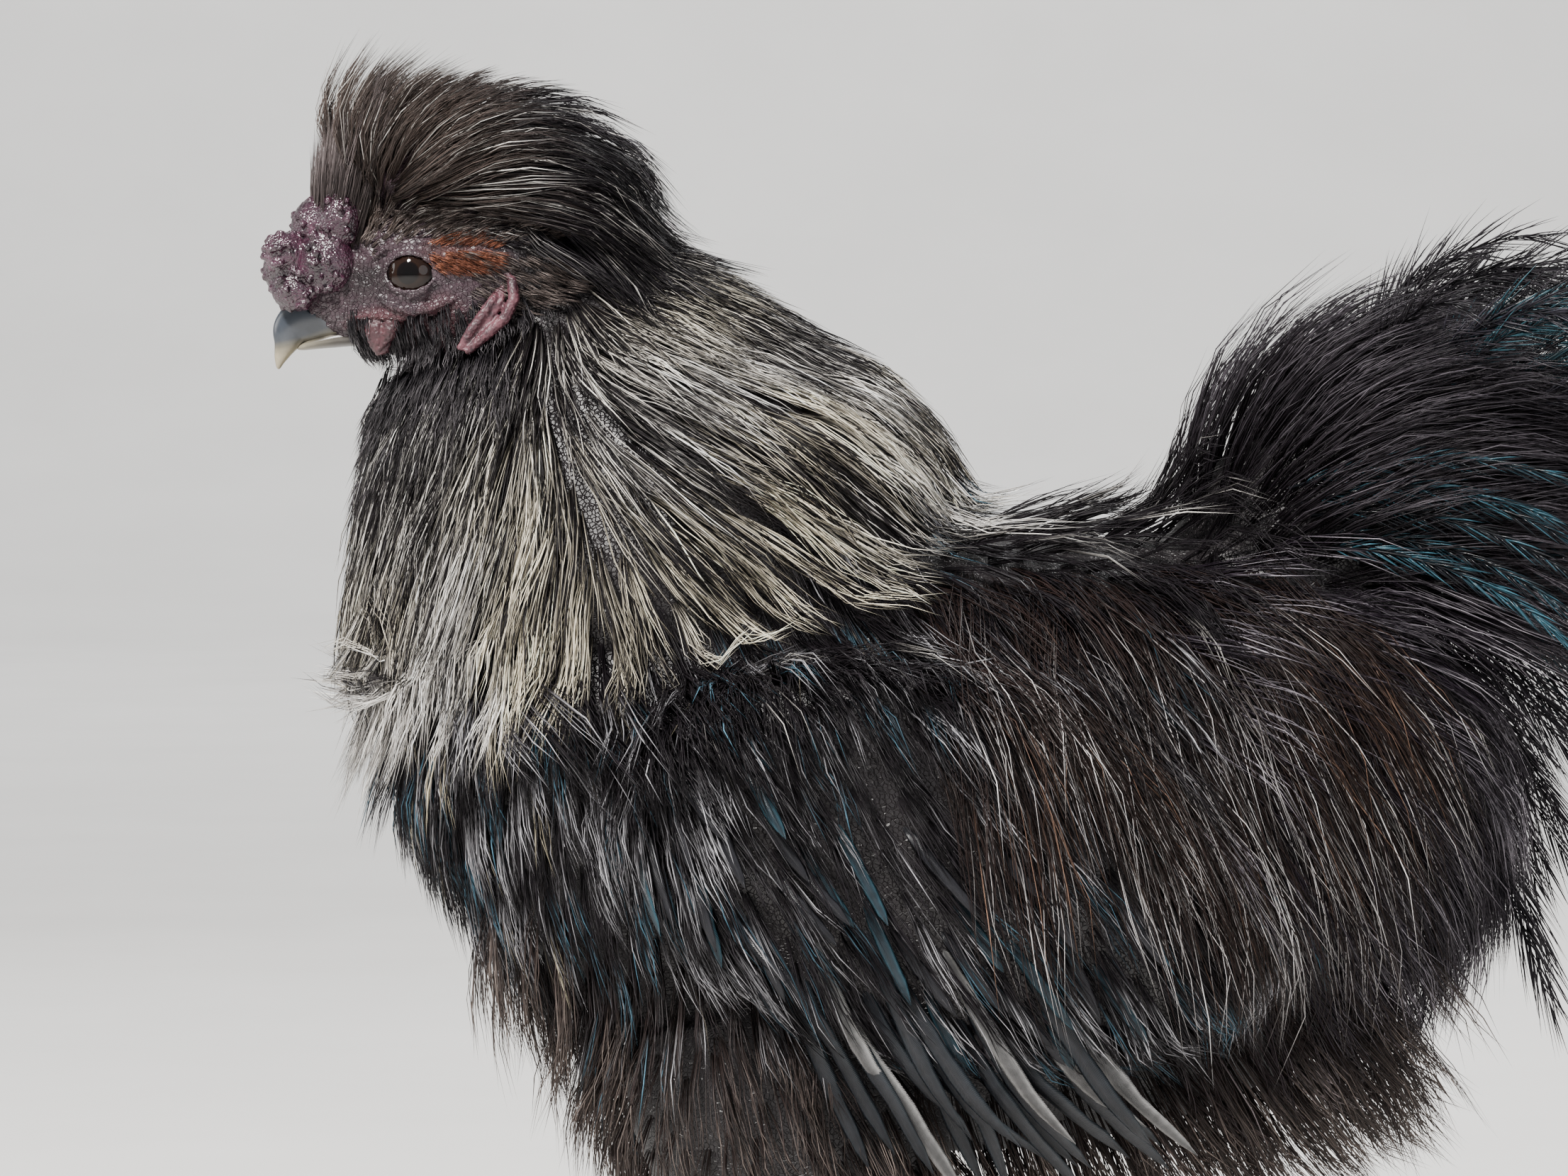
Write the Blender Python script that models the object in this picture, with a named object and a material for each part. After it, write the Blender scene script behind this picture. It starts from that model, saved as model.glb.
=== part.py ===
"""A silkie cock, black with silver hackles, life size and standing still on the floor.

It faces -X and stands on Z = 0, in metres, with its middle near Y = 0. The flesh is a set of cores that
sit in pockets of one another. Flat tapered locks and vanes lie over the cores, and each node's own locks
are fused to its core. Nodes are feathered from the tail forwards, so that each lies over the ones behind.
"""

import math
import random

import bmesh
import bpy
from mathutils import Matrix, Vector
from mathutils.bvhtree import BVHTree

GAP = 0.0003
FLOOR_CLEARANCE = 0.001
CENTRING = Vector((-0.0064, 0, 0))
SINK = 0.004
REACH = 0.25
DOWN = Vector((0, 0, -1))
UP = Vector((0, 0, 1))
BACK = Vector((1, 0, 0))
ACROSS = Vector((0, 1, 0))
SIDES = {"left": -1, "right": 1}

# Rows of (x, y, z, half height, half width) along each core's middle line. A row of no size is a round end.
TORSO_ROWS = (
    (-0.162, 0, 0.200, 0, 0),
    (-0.150, 0, 0.198, 0.034, 0.036),
    (-0.120, 0, 0.185, 0.061, 0.060),
    (-0.080, 0, 0.169, 0.080, 0.070),
    (-0.040, 0, 0.163, 0.083, 0.074),
    (0.000, 0, 0.163, 0.083, 0.075),
    (0.040, 0, 0.167, 0.079, 0.071),
    (0.075, 0, 0.174, 0.069, 0.059),
    (0.101, 0, 0.180, 0.046, 0.040),
    (0.115, 0, 0.182, 0, 0),
)
NECK_ROWS = (
    (-0.0900, 0, 0.200, 0.0700, 0.0500),
    (-0.0965, 0, 0.231, 0.0800, 0.0560),
    (-0.1100, 0, 0.257, 0.0670, 0.0460),
    (-0.1215, 0, 0.278, 0.0540, 0.0340),
    (-0.1300, 0, 0.293, 0.0420, 0.0200),
    (-0.1360, 0, 0.304, 0.0275, 0.0120),
)
HEAD_ROWS = (
    (-0.188, 0, 0.3035, 0, 0),
    (-0.181, 0, 0.3040, 0.0100, 0.0080),
    (-0.171, 0, 0.3060, 0.0170, 0.0115),
    (-0.159, 0, 0.3090, 0.0225, 0.0145),
    (-0.146, 0, 0.3100, 0.0250, 0.0168),
    (-0.133, 0, 0.3100, 0.0235, 0.0170),
    (-0.121, 0, 0.3090, 0.0170, 0.0140),
    (-0.112, 0, 0.3080, 0, 0),
)
TAIL_ROWS = (
    (0.047, 0, 0.208, 0.022, 0.024),
    (0.062, 0, 0.227, 0.034, 0.034),
    (0.082, 0, 0.250, 0.036, 0.036),
    (0.099, 0, 0.270, 0.026, 0.026),
    (0.110, 0, 0.283, 0, 0),
)
WING_ROWS = (
    (-0.098, 0.064, 0.190, 0, 0),
    (-0.086, 0.070, 0.184, 0.026, 0.010),
    (-0.058, 0.075, 0.174, 0.041, 0.012),
    (-0.022, 0.077, 0.163, 0.044, 0.012),
    (0.014, 0.074, 0.153, 0.036, 0.011),
    (0.042, 0.070, 0.146, 0.022, 0.009),
    (0.058, 0.066, 0.142, 0, 0),
)
THIGH_ROWS = (
    (-0.068, 0.036, 0.128, 0.040, 0.028),
    (-0.062, 0.038, 0.102, 0.044, 0.030),
    (-0.050, 0.040, 0.080, 0.038, 0.027),
    (-0.036, 0.041, 0.061, 0.025, 0.020),
    (-0.028, 0.042, 0.048, 0.013, 0.013),
)
SHANK_ROWS = (
    (-0.029, 0.042, 0.064, 0.0085, 0.0080),
    (-0.027, 0.042, 0.052, 0.0085, 0.0080),
    (-0.030, 0.043, 0.036, 0.0062, 0.0058),
    (-0.034, 0.044, 0.020, 0.0066, 0.0062),
    (-0.035, 0.044, 0.010, 0.0068, 0.0064),
)
BEAK_UPPER_ROWS = (
    (-0.1700, 0, 0.3000, 0.0060, 0.0062),
    (-0.1790, 0, 0.2996, 0.0066, 0.0058),
    (-0.1855, 0, 0.2982, 0.0064, 0.0046),
    (-0.1895, 0, 0.2955, 0.0052, 0.0034),
    (-0.1914, 0, 0.2912, 0.0030, 0.0022),
    (-0.1927, 0, 0.2877, 0.0015, 0.0012),
    (-0.1932, 0, 0.2852, 0, 0),
)
BEAK_LOWER_ROWS = (
    (-0.1680, 0, 0.2935, 0.0028, 0.0050),
    (-0.1760, 0, 0.2922, 0.0028, 0.0046),
    (-0.1820, 0, 0.2905, 0.0022, 0.0036),
    (-0.1868, 0, 0.2892, 0, 0),
)
CREST_ROWS = (
    (-0.1735, 0, 0.3290, 0, 0),
    (-0.1660, 0, 0.3330, 0.0120, 0.0130),
    (-0.1500, 0, 0.3370, 0.0165, 0.0190),
    (-0.1330, 0, 0.3360, 0.0170, 0.0205),
    (-0.1180, 0, 0.3280, 0.0150, 0.0170),
    (-0.1080, 0, 0.3180, 0, 0),
)
WATTLE_ROWS = (
    (-0.1660, 0.0085, 0.2990, 0.0030, 0.0020),
    (-0.1670, 0.0098, 0.2945, 0.0044, 0.0026),
    (-0.1674, 0.0104, 0.2900, 0.0040, 0.0024),
    (-0.1672, 0.0104, 0.2868, 0, 0),
)
# The ear lobe's two folds, the front one longer.
LOBE_ROWS = (
    (
        (-0.1330, 0.0158, 0.3110, 0.0020, 0.0018),
        (-0.1372, 0.0182, 0.3040, 0.0030, 0.0022),
        (-0.1420, 0.0186, 0.2960, 0.0032, 0.0022),
        (-0.1462, 0.0180, 0.2895, 0, 0),
    ),
    (
        (-0.1290, 0.0156, 0.3080, 0.0018, 0.0018),
        (-0.1325, 0.0184, 0.3020, 0.0026, 0.0022),
        (-0.1362, 0.0192, 0.2960, 0.0026, 0.0020),
        (-0.1392, 0.0190, 0.2920, 0, 0),
    ),
)
# Soft ridges of the face: the brow, the bag under the eye and the fold behind the mouth.
FACE_FOLDS = (
    (
        (-0.1690, 0.0125, 0.3130, 0, 0),
        (-0.1640, 0.0142, 0.3172, 0.0016, 0.0014),
        (-0.1560, 0.0152, 0.3186, 0.0018, 0.0014),
        (-0.1475, 0.0162, 0.3160, 0, 0),
    ),
    (
        (-0.1680, 0.0120, 0.3055, 0, 0),
        (-0.1625, 0.0138, 0.3018, 0.0015, 0.0013),
        (-0.1545, 0.0152, 0.3008, 0.0016, 0.0014),
        (-0.1460, 0.0164, 0.3040, 0, 0),
    ),
    (
        (-0.1730, 0.0092, 0.2975, 0, 0),
        (-0.1660, 0.0112, 0.2985, 0.0018, 0.0016),
        (-0.1580, 0.0132, 0.2965, 0.0020, 0.0016),
        (-0.1490, 0.0145, 0.2930, 0, 0),
    ),
)
# The comb's lobes, as (x, y, z) and radii. Those off the middle come in pairs.
COMB_BULBS = (
    ((-0.1865, 0, 0.3110), (0.0112, 0.0105, 0.0095)),
    ((-0.1785, 0, 0.3212), (0.0105, 0.0105, 0.0095)),
    ((-0.1715, 0, 0.3265), (0.0070, 0.0080, 0.0062)),
    ((-0.1800, 0.0080, 0.3125), (0.0082, 0.0064, 0.0085)),
    ((-0.1735, 0.0074, 0.3215), (0.0074, 0.0062, 0.0072)),
    ((-0.1885, 0.0062, 0.3055), (0.0066, 0.0056, 0.0056)),
    ((-0.1905, 0.0058, 0.3150), (0.0066, 0.0056, 0.0062)),
)
EYE = Vector((-0.1573, 0.0094, 0.3100))
EYE_RADIUS = 0.0080
EYE_TURN = 0.2
LID_HALF_SIZES = (0.0070, 0.0052)
LID_TUBE = 0.0011
NOSTRIL = ((-0.1838, 0.0050, 0.3006), (0.0018, 0.0013, 0.0009))
MOUTH_CORNER = ((-0.1775, 0.0112, 0.2948), (0.0052, 0.0030, 0.0006))
TAIL_ROOT = Vector((0.080, 0, 0.248))

PALM = Vector((-0.036, 0.044, 0.0075))
PALM_RADII = (0.0110, 0.0100, 0.0095)
TOE_HALF = 0.0044
SOLE_CUT = 0.0006
CLAW_LENGTH = 0.013
# Toe number to heading in degrees from straight ahead (outwards positive), reach, and height of its tip.
TOES = {
    1: (-158, 0.024, 0),
    2: (-32, 0.041, 0),
    3: (1, 0.052, 0),
    4: (33, 0.044, 0),
    5: (-116, 0.021, 0.009),
}

# Each row of locks laid round a core: share along it, first and last angle on either side from its high
# side, count on a side, length, rise of the tips.
HACKLE_COAT = (
    (0.20, 66, 180, 5, 0.062, 0.018),
    (0.33, 16, 164, 5, 0.060, 0.018),
    (0.46, 0, 180, 6, 0.058, 0.018),
    (0.60, 18, 162, 5, 0.054, 0.016),
    (0.73, 0, 180, 4, 0.048, 0.014),
    (0.86, 28, 152, 3, 0.040, 0.012),
)
CREST_COAT = (
    (0.14, 0, 84, 3, 0.026, 0.016),
    (0.29, 26, 96, 3, 0.030, 0.018),
    (0.46, 0, 108, 3, 0.032, 0.018),
    (0.63, 30, 112, 3, 0.034, 0.018),
    (0.80, 0, 124, 4, 0.036, 0.016),
    (0.92, 40, 150, 2, 0.036, 0.014),
)
TAIL_COAT = (
    (0.36, 36, 144, 2, 0.052, 0.016),
    (0.60, 12, 168, 4, 0.052, 0.018),
)
THIGH_COAT = (
    (0.12, 30, 180, 4, 0.044, 0.012),
    (0.38, 20, 160, 4, 0.042, 0.013),
    (0.62, 40, 180, 4, 0.036, 0.012),
)
RUMP_COAT = (
    (0.95, 34, 156, 3, 0.048, 0.022),
    (0.86, 56, 168, 4, 0.054, 0.022),
    (0.75, 66, 150, 4, 0.056, 0.020),
    (0.61, 100, 130, 2, 0.060, 0.016),
    (0.58, 62, 84, 2, 0.064, 0.015),
)
BELLY_COAT = (
    (0.74, 164, 164, 1, 0.036, 0.020),
    (0.66, 152, 180, 2, 0.042, 0.022),
    (0.54, 148, 172, 2, 0.040, 0.022),
    (0.30, 166, 180, 2, 0.038, 0.020),
)
BREAST_COAT = (
    (0.25, 104, 158, 3, 0.054, 0.017),
    (0.16, 84, 166, 4, 0.048, 0.015),
    (0.08, 78, 172, 3, 0.042, 0.013),
)
SADDLE_COAT = (
    (0.72, 34, 62, 2, 0.044, 0.014),
    (0.62, 24, 62, 2, 0.040, 0.013),
    (0.52, 0, 70, 3, 0.048, 0.015),
    (0.43, 30, 62, 2, 0.058, 0.015),
)
# Each row of wing vanes: share of the first and last along the wing, angle, count, length, rise, cling, width
# and bends.
WING_COAT = (
    (0.12, 0.86, 152, 7, 0.076, 0.006, 0.2, 0.017, 3),
    (0.20, 0.84, 116, 5, 0.046, 0.009, 0.6, 0.022, 2),
    (0.12, 0.76, 58, 5, 0.038, 0.010, 0.9, 0.022, 2),
    (0.18, 0.80, 24, 4, 0.036, 0.010, 0.9, 0.023, 2),
    (0.22, 0.64, 8, 3, 0.036, 0.010, 0.9, 0.023, 2),
    (0.06, 0.06, 60, 1, 0.036, 0.012, 0.9, 0.022, 2),
)
# Each row of tail vanes: degrees up from level, lateral angles, length, droop in degrees, width.
TAIL_FAN = (
    (-58, (-13, 13), 0.046, 6, 0.024),
    (-38, (-22, 0, 22), 0.056, 10, 0.024),
    (-18, (-12, 12), 0.068, 14, 0.024),
    (2, (-24, 0, 24), 0.084, 26, 0.024),
    (20, (-14, 14), 0.098, 44, 0.024),
    (36, (-20, 0, 20), 0.108, 66, 0.023),
    (52, (-12, 12), 0.112, 90, 0.022),
    (68, (-20, 0, 20), 0.110, 118, 0.022),
    (84, (-12, 12), 0.074, 80, 0.022),
    (104, (-20, 0, 20), 0.044, 24, 0.021),
)

# Headings of the feathers beside each foot, in degrees outwards from the rear.
FOOT_FEATHERS = (64, 88, 112)

# Rings and sides of each kind of body.
FACETS = {
    "torso": (11, 14),
    "neck": (6, 14),
    "head": (11, 14),
    "tail": (6, 10),
    "comb": (8, 6),
    "beak_upper": (9, 10),
    "beak_lower": (4, 8),
    "crest": (6, 10),
    "eye": (12, 8),
    "wattle": (5, 6),
    "earlobe": (5, 6),
    "fold": (5, 4),
    "lid": (12, 4),
    "wing": (8, 10),
    "thigh": (5, 8),
    "shank": (5, 8),
    "palm": (10, 6),
    "toe": (5, 6),
    "claw": (4, 5),
    "opening": (8, 5),
}

rng = random.Random(7)


def clear_scene():
    for obj in list(bpy.data.objects):
        bpy.data.objects.remove(obj)


def material(name, colour, roughness, metallic=0.0):
    made = bpy.data.materials.new(name)
    made.use_nodes = True
    shader = made.node_tree.nodes["Principled BSDF"]
    shader.inputs["Base Color"].default_value = (*colour, 1)
    shader.inputs["Roughness"].default_value = roughness
    shader.inputs["Metallic"].default_value = metallic
    return made


def new_object(name, shape):
    verts, faces = shape
    mesh = bpy.data.meshes.new(name)
    mesh.from_pydata([tuple(v) for v in verts], [], faces)
    work = bmesh.new()
    work.from_mesh(mesh)
    bmesh.ops.recalc_face_normals(work, faces=work.faces)
    work.to_mesh(mesh)
    work.free()
    obj = bpy.data.objects.new(name, mesh)
    bpy.context.scene.collection.objects.link(obj)
    return obj


def along_values(values, share):
    """The value at this share of the way along evenly spaced values."""
    span = share * (len(values) - 1)
    i = min(int(span), len(values) - 2)
    return values[i] + (values[i + 1] - values[i]) * (span - i)


def vary(value, share):
    return value * (1 + share * rng.uniform(-1, 1))


def between(rows, share):
    """The row at this share of the way along the rows, on a Catmull-Rom curve. Half sizes blend as squares."""
    span = share * (len(rows) - 1)
    i = min(int(span), len(rows) - 2)
    t = span - i
    around = [rows[max(0, min(len(rows) - 1, i + k))] for k in (-1, 0, 1, 2)]
    made = []
    for column in range(5):
        a, b, c, d = (row[column] ** 2 if column > 2 else row[column] for row in around)
        value = b + t / 2 * (c - a + t * (2 * a - 5 * b + 4 * c - d + t * (3 * (b - c) + d - a)))
        made.append(math.sqrt(max(0, value)) if column > 2 else value)
    return made


def section(rows, share):
    """The centre of the rows at this share, and the directions along, high and wide there.

    The torso's sections stand upright, and all others are square to their middle line.
    """
    ahead = Vector(between(rows, min(1, share + 0.03))[:3])
    behind = Vector(between(rows, max(0, share - 0.03))[:3])
    along = BACK if rows is TORSO_ROWS else (ahead - behind).normalized()
    wide = (ACROSS - along * ACROSS.dot(along)).normalized()
    return Vector(between(rows, share)[:3]), along, along.cross(wide), wide


def mirrored(rows, side):
    return tuple((x, side * y, z, high, wide) for x, y, z, high, wide in rows)


def swept(rows, rings, sides, grow=0.0):
    """Vertices and outward faces of a closed body along the rows, its sections square to its middle line."""
    verts, loops = [], []
    for i in range(rings):
        share = i / (rings - 1)
        centre, along, high, wide = section(rows, share)
        half_high, half_wide = between(rows, share)[3:]
        push = along * grow * ((i == rings - 1) - (i == 0))
        if max(half_high, half_wide) < 1e-5:
            loops.append([len(verts)])
            verts.append(centre + push)
            continue
        loops.append(list(range(len(verts), len(verts) + sides)))
        for k in range(sides):
            angle = 2 * math.pi * k / sides
            lift = high * math.cos(angle) * (half_high + grow)
            verts.append(centre + push + lift + wide * math.sin(angle) * (half_wide + grow))
    faces = []
    for low, top in zip(loops, loops[1:]):
        for k in range(sides):
            n = (k + 1) % sides
            if len(low) == 1:
                faces.append((low[0], top[k], top[n]))
            elif len(top) == 1:
                faces.append((low[n], low[k], top[0]))
            else:
                faces += [(low[k], top[k], top[n]), (low[k], top[n], low[n])]
    if len(loops[0]) > 1:
        faces.append(tuple(loops[0]))
    if len(loops[-1]) > 1:
        faces.append(tuple(reversed(loops[-1])))
    return verts, faces


def ball(centre, radii, around, rings, grow=0.0):
    """Vertices and faces of an ellipsoid."""
    work = bmesh.new()
    bmesh.ops.create_uvsphere(work, u_segments=around, v_segments=rings, radius=1)
    work.verts.index_update()
    verts = [
        Vector([middle + c * (radius + grow) for middle, c, radius in zip(centre, v.co, radii)])
        for v in work.verts
    ]
    faces = [tuple(v.index for v in f.verts) for f in work.faces]
    work.free()
    return verts, faces


def lid_ring(side):
    """A closed tube round the eye's opening that lies on the eyeball."""
    around, sides = FACETS["lid"]
    outward = Vector((-EYE_TURN, side, 0.02)).normalized()
    ahead = (BACK - outward * BACK.dot(outward)).normalized()
    upward = outward.cross(ahead) * -side
    eye = Vector((EYE.x, side * EYE.y, EYE.z))
    verts = []
    for i in range(around):
        angle = 2 * math.pi * i / around
        reach = ahead * math.cos(angle) * LID_HALF_SIZES[0] + upward * math.sin(angle) * LID_HALF_SIZES[1]
        depth = math.sqrt((EYE_RADIUS + 0.0004) ** 2 - reach.length_squared)
        centre = eye + reach + outward * depth
        for k in range(sides):
            turn = 2 * math.pi * k / sides
            spread = reach.normalized() * math.cos(turn) + outward * math.sin(turn)
            verts.append(centre + spread * LID_TUBE)
    faces = []
    for i in range(around):
        for k in range(sides):
            j, n = (i + 1) % around, (k + 1) % sides
            faces.append((i * sides + k, j * sides + k, j * sides + n, i * sides + n))
    return verts, faces


def solve(obj, operation, shapes):
    """Joins obj with the shapes, or cuts them out of it, and keeps its largest closed surface."""
    if not shapes:
        return obj
    group = bpy.data.collections.new("pieces")
    bpy.context.scene.collection.children.link(group)
    pieces = [new_object("piece", shape) for shape in shapes]
    for piece in pieces:
        bpy.context.scene.collection.objects.unlink(piece)
        group.objects.link(piece)
    modifier = obj.modifiers.new("solve", "BOOLEAN")
    modifier.operation = operation
    modifier.operand_type = "COLLECTION"
    modifier.collection = group
    modifier.solver = "MANIFOLD"
    graph = bpy.context.evaluated_depsgraph_get()
    made = bpy.data.meshes.new_from_object(obj.evaluated_get(graph))
    obj.modifiers.clear()
    obj.data = made
    for piece in pieces:
        bpy.data.objects.remove(piece)
    bpy.data.collections.remove(group)
    keep_largest(obj)
    return obj


def keep_largest(obj):
    """Keeps the one closed surface of obj that holds the most."""
    work = bmesh.new()
    work.from_mesh(obj.data)
    bmesh.ops.triangulate(work, faces=work.faces)
    left, shells = set(work.faces), []
    while left:
        front = [left.pop()]
        shell = list(front)
        while front:
            beside = {other for edge in front.pop().edges for other in edge.link_faces} & left
            left -= beside
            front += beside
            shell += beside
        shells.append(shell)
    shells.sort(key=lambda shell: sum(f.verts[0].co.dot(f.verts[1].co.cross(f.verts[2].co)) for f in shell))
    loose = [face for shell in shells[:-1] for face in shell]
    bmesh.ops.delete(work, geom=loose, context="FACES")
    bmesh.ops.delete(work, geom=[v for v in work.verts if not v.link_faces], context="VERTS")
    work.to_mesh(obj.data)
    work.free()


def as_tree(obj):
    return BVHTree.FromPolygons([v.co for v in obj.data.vertices], [tuple(f.vertices) for f in obj.data.polygons])


class Ground:
    """The fine surface of one or more bodies, which locks grow from and lie over."""

    def __init__(self, *shapes):
        verts, faces = [], []
        for shape_verts, shape_faces in shapes:
            faces += [tuple(len(verts) + i for i in face) for face in shape_faces]
            verts += shape_verts
        self.tree = BVHTree.FromPolygons(verts, faces)

    def settle(self, point):
        """The nearest surface point and the way out from it."""
        spot, normal, _, away = self.tree.find_nearest(point)
        out = point - spot
        if away < 1e-4 or out.dot(normal) < 0:
            return spot, normal
        return spot, out.normalized()

    def met_from(self, centre, out):
        """The outermost surface point met on the way in to centre."""
        return self.tree.ray_cast(centre + out * REACH, -out)[0]

    def holds(self, point):
        return self.tree.find_nearest(point)[3] < 0.0006


def strap(middle, widths, thicks, grow=0.0):
    """A closed flat tapered lock. middle holds (point, normal, heading) rows, and the last one is its tip."""
    verts, faces = [], []
    for (point, normal, heading), width, thick in zip(middle, widths, thicks):
        side = heading.cross(normal).normalized()
        for out, reach in ((-side, width), (normal, thick), (side, width), (-normal, thick)):
            verts.append(point + out * (reach / 2 + grow))
    rings = len(widths)
    for i in range(rings - 1):
        for k in range(4):
            a, b = 4 * i + k, 4 * i + (k + 1) % 4
            c, d = b + 4, a + 4
            faces += [(a, b, c), (a, c, d)] if k % 2 else [(b, d, a), (b, c, d)]
    tip = len(verts)
    point, _, heading = middle[-1]
    verts.append(point + heading * grow)
    last = 4 * (rings - 1)
    faces += [(last + k, last + (k + 1) % 4, tip) for k in range(4)]
    faces += [(0, 2, 1), (0, 3, 2)]
    return verts, faces


def along_skin(heading, normal, cling):
    """The heading turned out of the skin, and down onto it as far as the lock clings."""
    away = heading.dot(normal)
    return (heading - normal * away * (min(1, 2 * cling) if away > 0 else 1)).normalized()


def lain(ground, root, lie, length, rise, lift, cling, steps):
    """The middle line of a lock that follows lie over the ground from a sunk root and rises to its tip."""
    free, normal = ground.settle(root)
    heading = lie(free)
    heading = along_skin(heading, normal, cling)
    middle = []
    step = length / steps
    for i in range(steps + 1):
        t = i / steps
        height = rise * t**0.75 + lift * min(1, 3 * t) - SINK * (1 - t) ** 3
        middle.append((free + normal * height, normal.copy(), heading.copy()))
        ahead = free + heading * step
        near, out = ground.settle(ahead + normal * rise)
        free = ahead.lerp(near, cling)
        normal = normal.lerp(out, max(cling, 0.4)).normalized()
        heading = along_skin(heading.lerp(lie(free), 0.5), normal, cling)
    return middle


def free_line(root, heading, normal, length, droop, steps):
    """The middle line of a feather that stands free and bends down by droop degrees in all."""
    point = root - heading * SINK
    middle = []
    step = (length + SINK) / steps
    for _ in range(steps + 1):
        out = (normal - heading * normal.dot(heading)).normalized()
        middle.append((point.copy(), out, heading.copy()))
        point = point + heading * step
        axis = heading.cross(DOWN)
        if axis.length > 0.05:
            turn = Matrix.Rotation(math.radians(droop) / steps, 3, axis.normalized())
            heading = (turn @ heading).normalized()
            normal = turn @ normal
    return middle


class Plumage:
    """The locks of one node, each kept clear of every other node."""

    def __init__(self, name, taper=(0.7, 1.0, 0.9, 0.6)):
        self.name = name
        self.own = GROUNDS[name]
        self.trees = [as_tree(obj) for other, obj in nodes.items() if other != name]
        self.taper = taper
        self.locks = []
        self.missed = 0

    def root(self, centre, out):
        """A root on this node's core where nothing covers it, or None."""
        spot = EVERYWHERE.met_from(centre, out)
        return spot if spot and self.own.holds(spot) else None

    def add(self, line_for, width, thick, roll=0.0):
        """Tries a lock as wished, then raised, then shorter, and keeps the first that is clear."""
        for shorten in (1.0, 0.85, 0.7, 0.55):
            for lift in (0.0, 0.003, 0.006, 0.010):
                middle = [(p, Matrix.Rotation(roll, 3, h) @ n, h) for p, n, h in line_for(shorten, lift)]
                shares = [along_values(self.taper, i / (len(middle) - 2)) for i in range(len(middle) - 1)]
                widths = [width * share for share in shares]
                thicks = [thick * (0.5 + 0.5 * share) for share in shares]
                around = BVHTree.FromPolygons(*strap(middle, widths, thicks, GAP))
                low = min(point.z for point, _, _ in middle) - width / 2
                if low > FLOOR_CLEARANCE and not any(around.overlap(tree) for tree in self.trees):
                    self.locks.append(strap(middle, widths, thicks))
                    return
        self.missed += 1

    def lay_row(self, rows, share, angles, lie, length, rise, cling, width, thick, steps=3):
        """One row of locks round the core's section at this share."""
        centre, _, high, wide = section(rows, share)
        for degrees in angles:
            angle = math.radians(degrees + rng.uniform(-3, 3))
            root = self.root(centre, high * math.cos(angle) + wide * math.sin(angle))
            if root is None:
                continue
            long, tall, swing = vary(length, 0.12), vary(rise, 0.15), rng.uniform(-0.12, 0.12)

            def line_for(shorten, lift, root=root, long=long, tall=tall, swing=swing):
                def swung(point):
                    return (lie(point) + ACROSS * swing).normalized()

                return lain(EVERYWHERE, root, swung, long * shorten, tall, lift, cling, steps)

            self.add(line_for, vary(width, 0.12), thick, rng.uniform(0.05, 0.25))

    def fan(self, centre, ahead, pitch, laterals, length, droop, width, thick, flat, steps=4):
        """One row of free feathers round centre, pitch degrees up from ahead. flat turns them edge up."""
        for degrees in laterals:
            lean = math.radians(degrees + rng.uniform(-4, 4))
            rise = math.radians(pitch + rng.uniform(-4, 4))
            level = ahead * math.cos(rise) + UP * math.sin(rise)
            heading = level * math.cos(lean) + ACROSS * math.sin(lean)
            root = self.root(centre, heading)
            if root is None:
                continue
            side = ACROSS if degrees >= 0 else -ACROSS
            over = (UP * math.cos(rise) - ahead * math.sin(rise)).lerp(side, flat)
            long, bend = vary(length, 0.12), vary(droop, 0.15)

            def line_for(shorten, lift, root=root, heading=heading, over=over, long=long, bend=bend):
                start = (heading + UP * lift * 40).normalized()
                return free_line(root, start, over, long * shorten, bend, steps)

            self.add(line_for, vary(width, 0.12), thick, rng.uniform(-0.2, 0.2))

    def fuse(self):
        solve(nodes[self.name], "UNION", self.locks)
        print(self.name, len(self.locks), "locks,", self.missed, "missed,", len(nodes[self.name].data.polygons))


def spread(first, last, count, offset=0.0):
    """Angles evenly from first to last on one side and mirrored on the other, the middle ones once."""
    step = (last - first) / max(1, count - 1)
    one_side = [first + (i + offset) * step for i in range(count)]
    one_side = [angle for angle in one_side if angle <= last + 0.5]
    mirror = [-angle for angle in one_side if 0.5 < angle < 179.5]
    return one_side + mirror


def hackle_lie(point):
    """Down the neck and outwards from it, more to the rear."""
    out = Vector((point.x + 0.105, point.y, 0))
    return (DOWN + out.normalized() * 0.45 + BACK * 0.25).normalized()


def back_lie(point):
    """Rearwards over the back, and steeper down its sides."""
    steep = min(1, abs(point.y) / 0.055)
    return (BACK * (1 - 0.55 * steep) + DOWN * (0.15 + 0.85 * steep)).normalized()


def crest_lie(point):
    """Up over the forehead, and swept back and down behind."""
    share = (point.x + 0.172) / 0.062
    side = ACROSS * 4 * point.y
    return (UP * (1.1 - 1.7 * share) + BACK * (0.2 + 0.9 * share) + side).normalized()


def tail_lie(point):
    """Out from the tail's root in a fan."""
    return (point - Vector((0.045, 0, 0.215)) + BACK * 0.01).normalized()


def breast_lie(point):
    return (DOWN + BACK * 0.35).normalized()


def fluff_lie(point):
    """Hanging, with a sweep to the rear that grows towards the vent."""
    return (DOWN + BACK * (0.35 + 4 * max(0, point.x))).normalized()


def wing_lie(point):
    return (DOWN * 0.85 + BACK * 0.52).normalized()


def shank_lie(point):
    return (DOWN * 0.8 + ACROSS * math.copysign(0.6, point.y) + BACK * 0.2).normalized()


def side_point(values, side):
    return Vector((values[0], side * values[1], values[2]))


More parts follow.
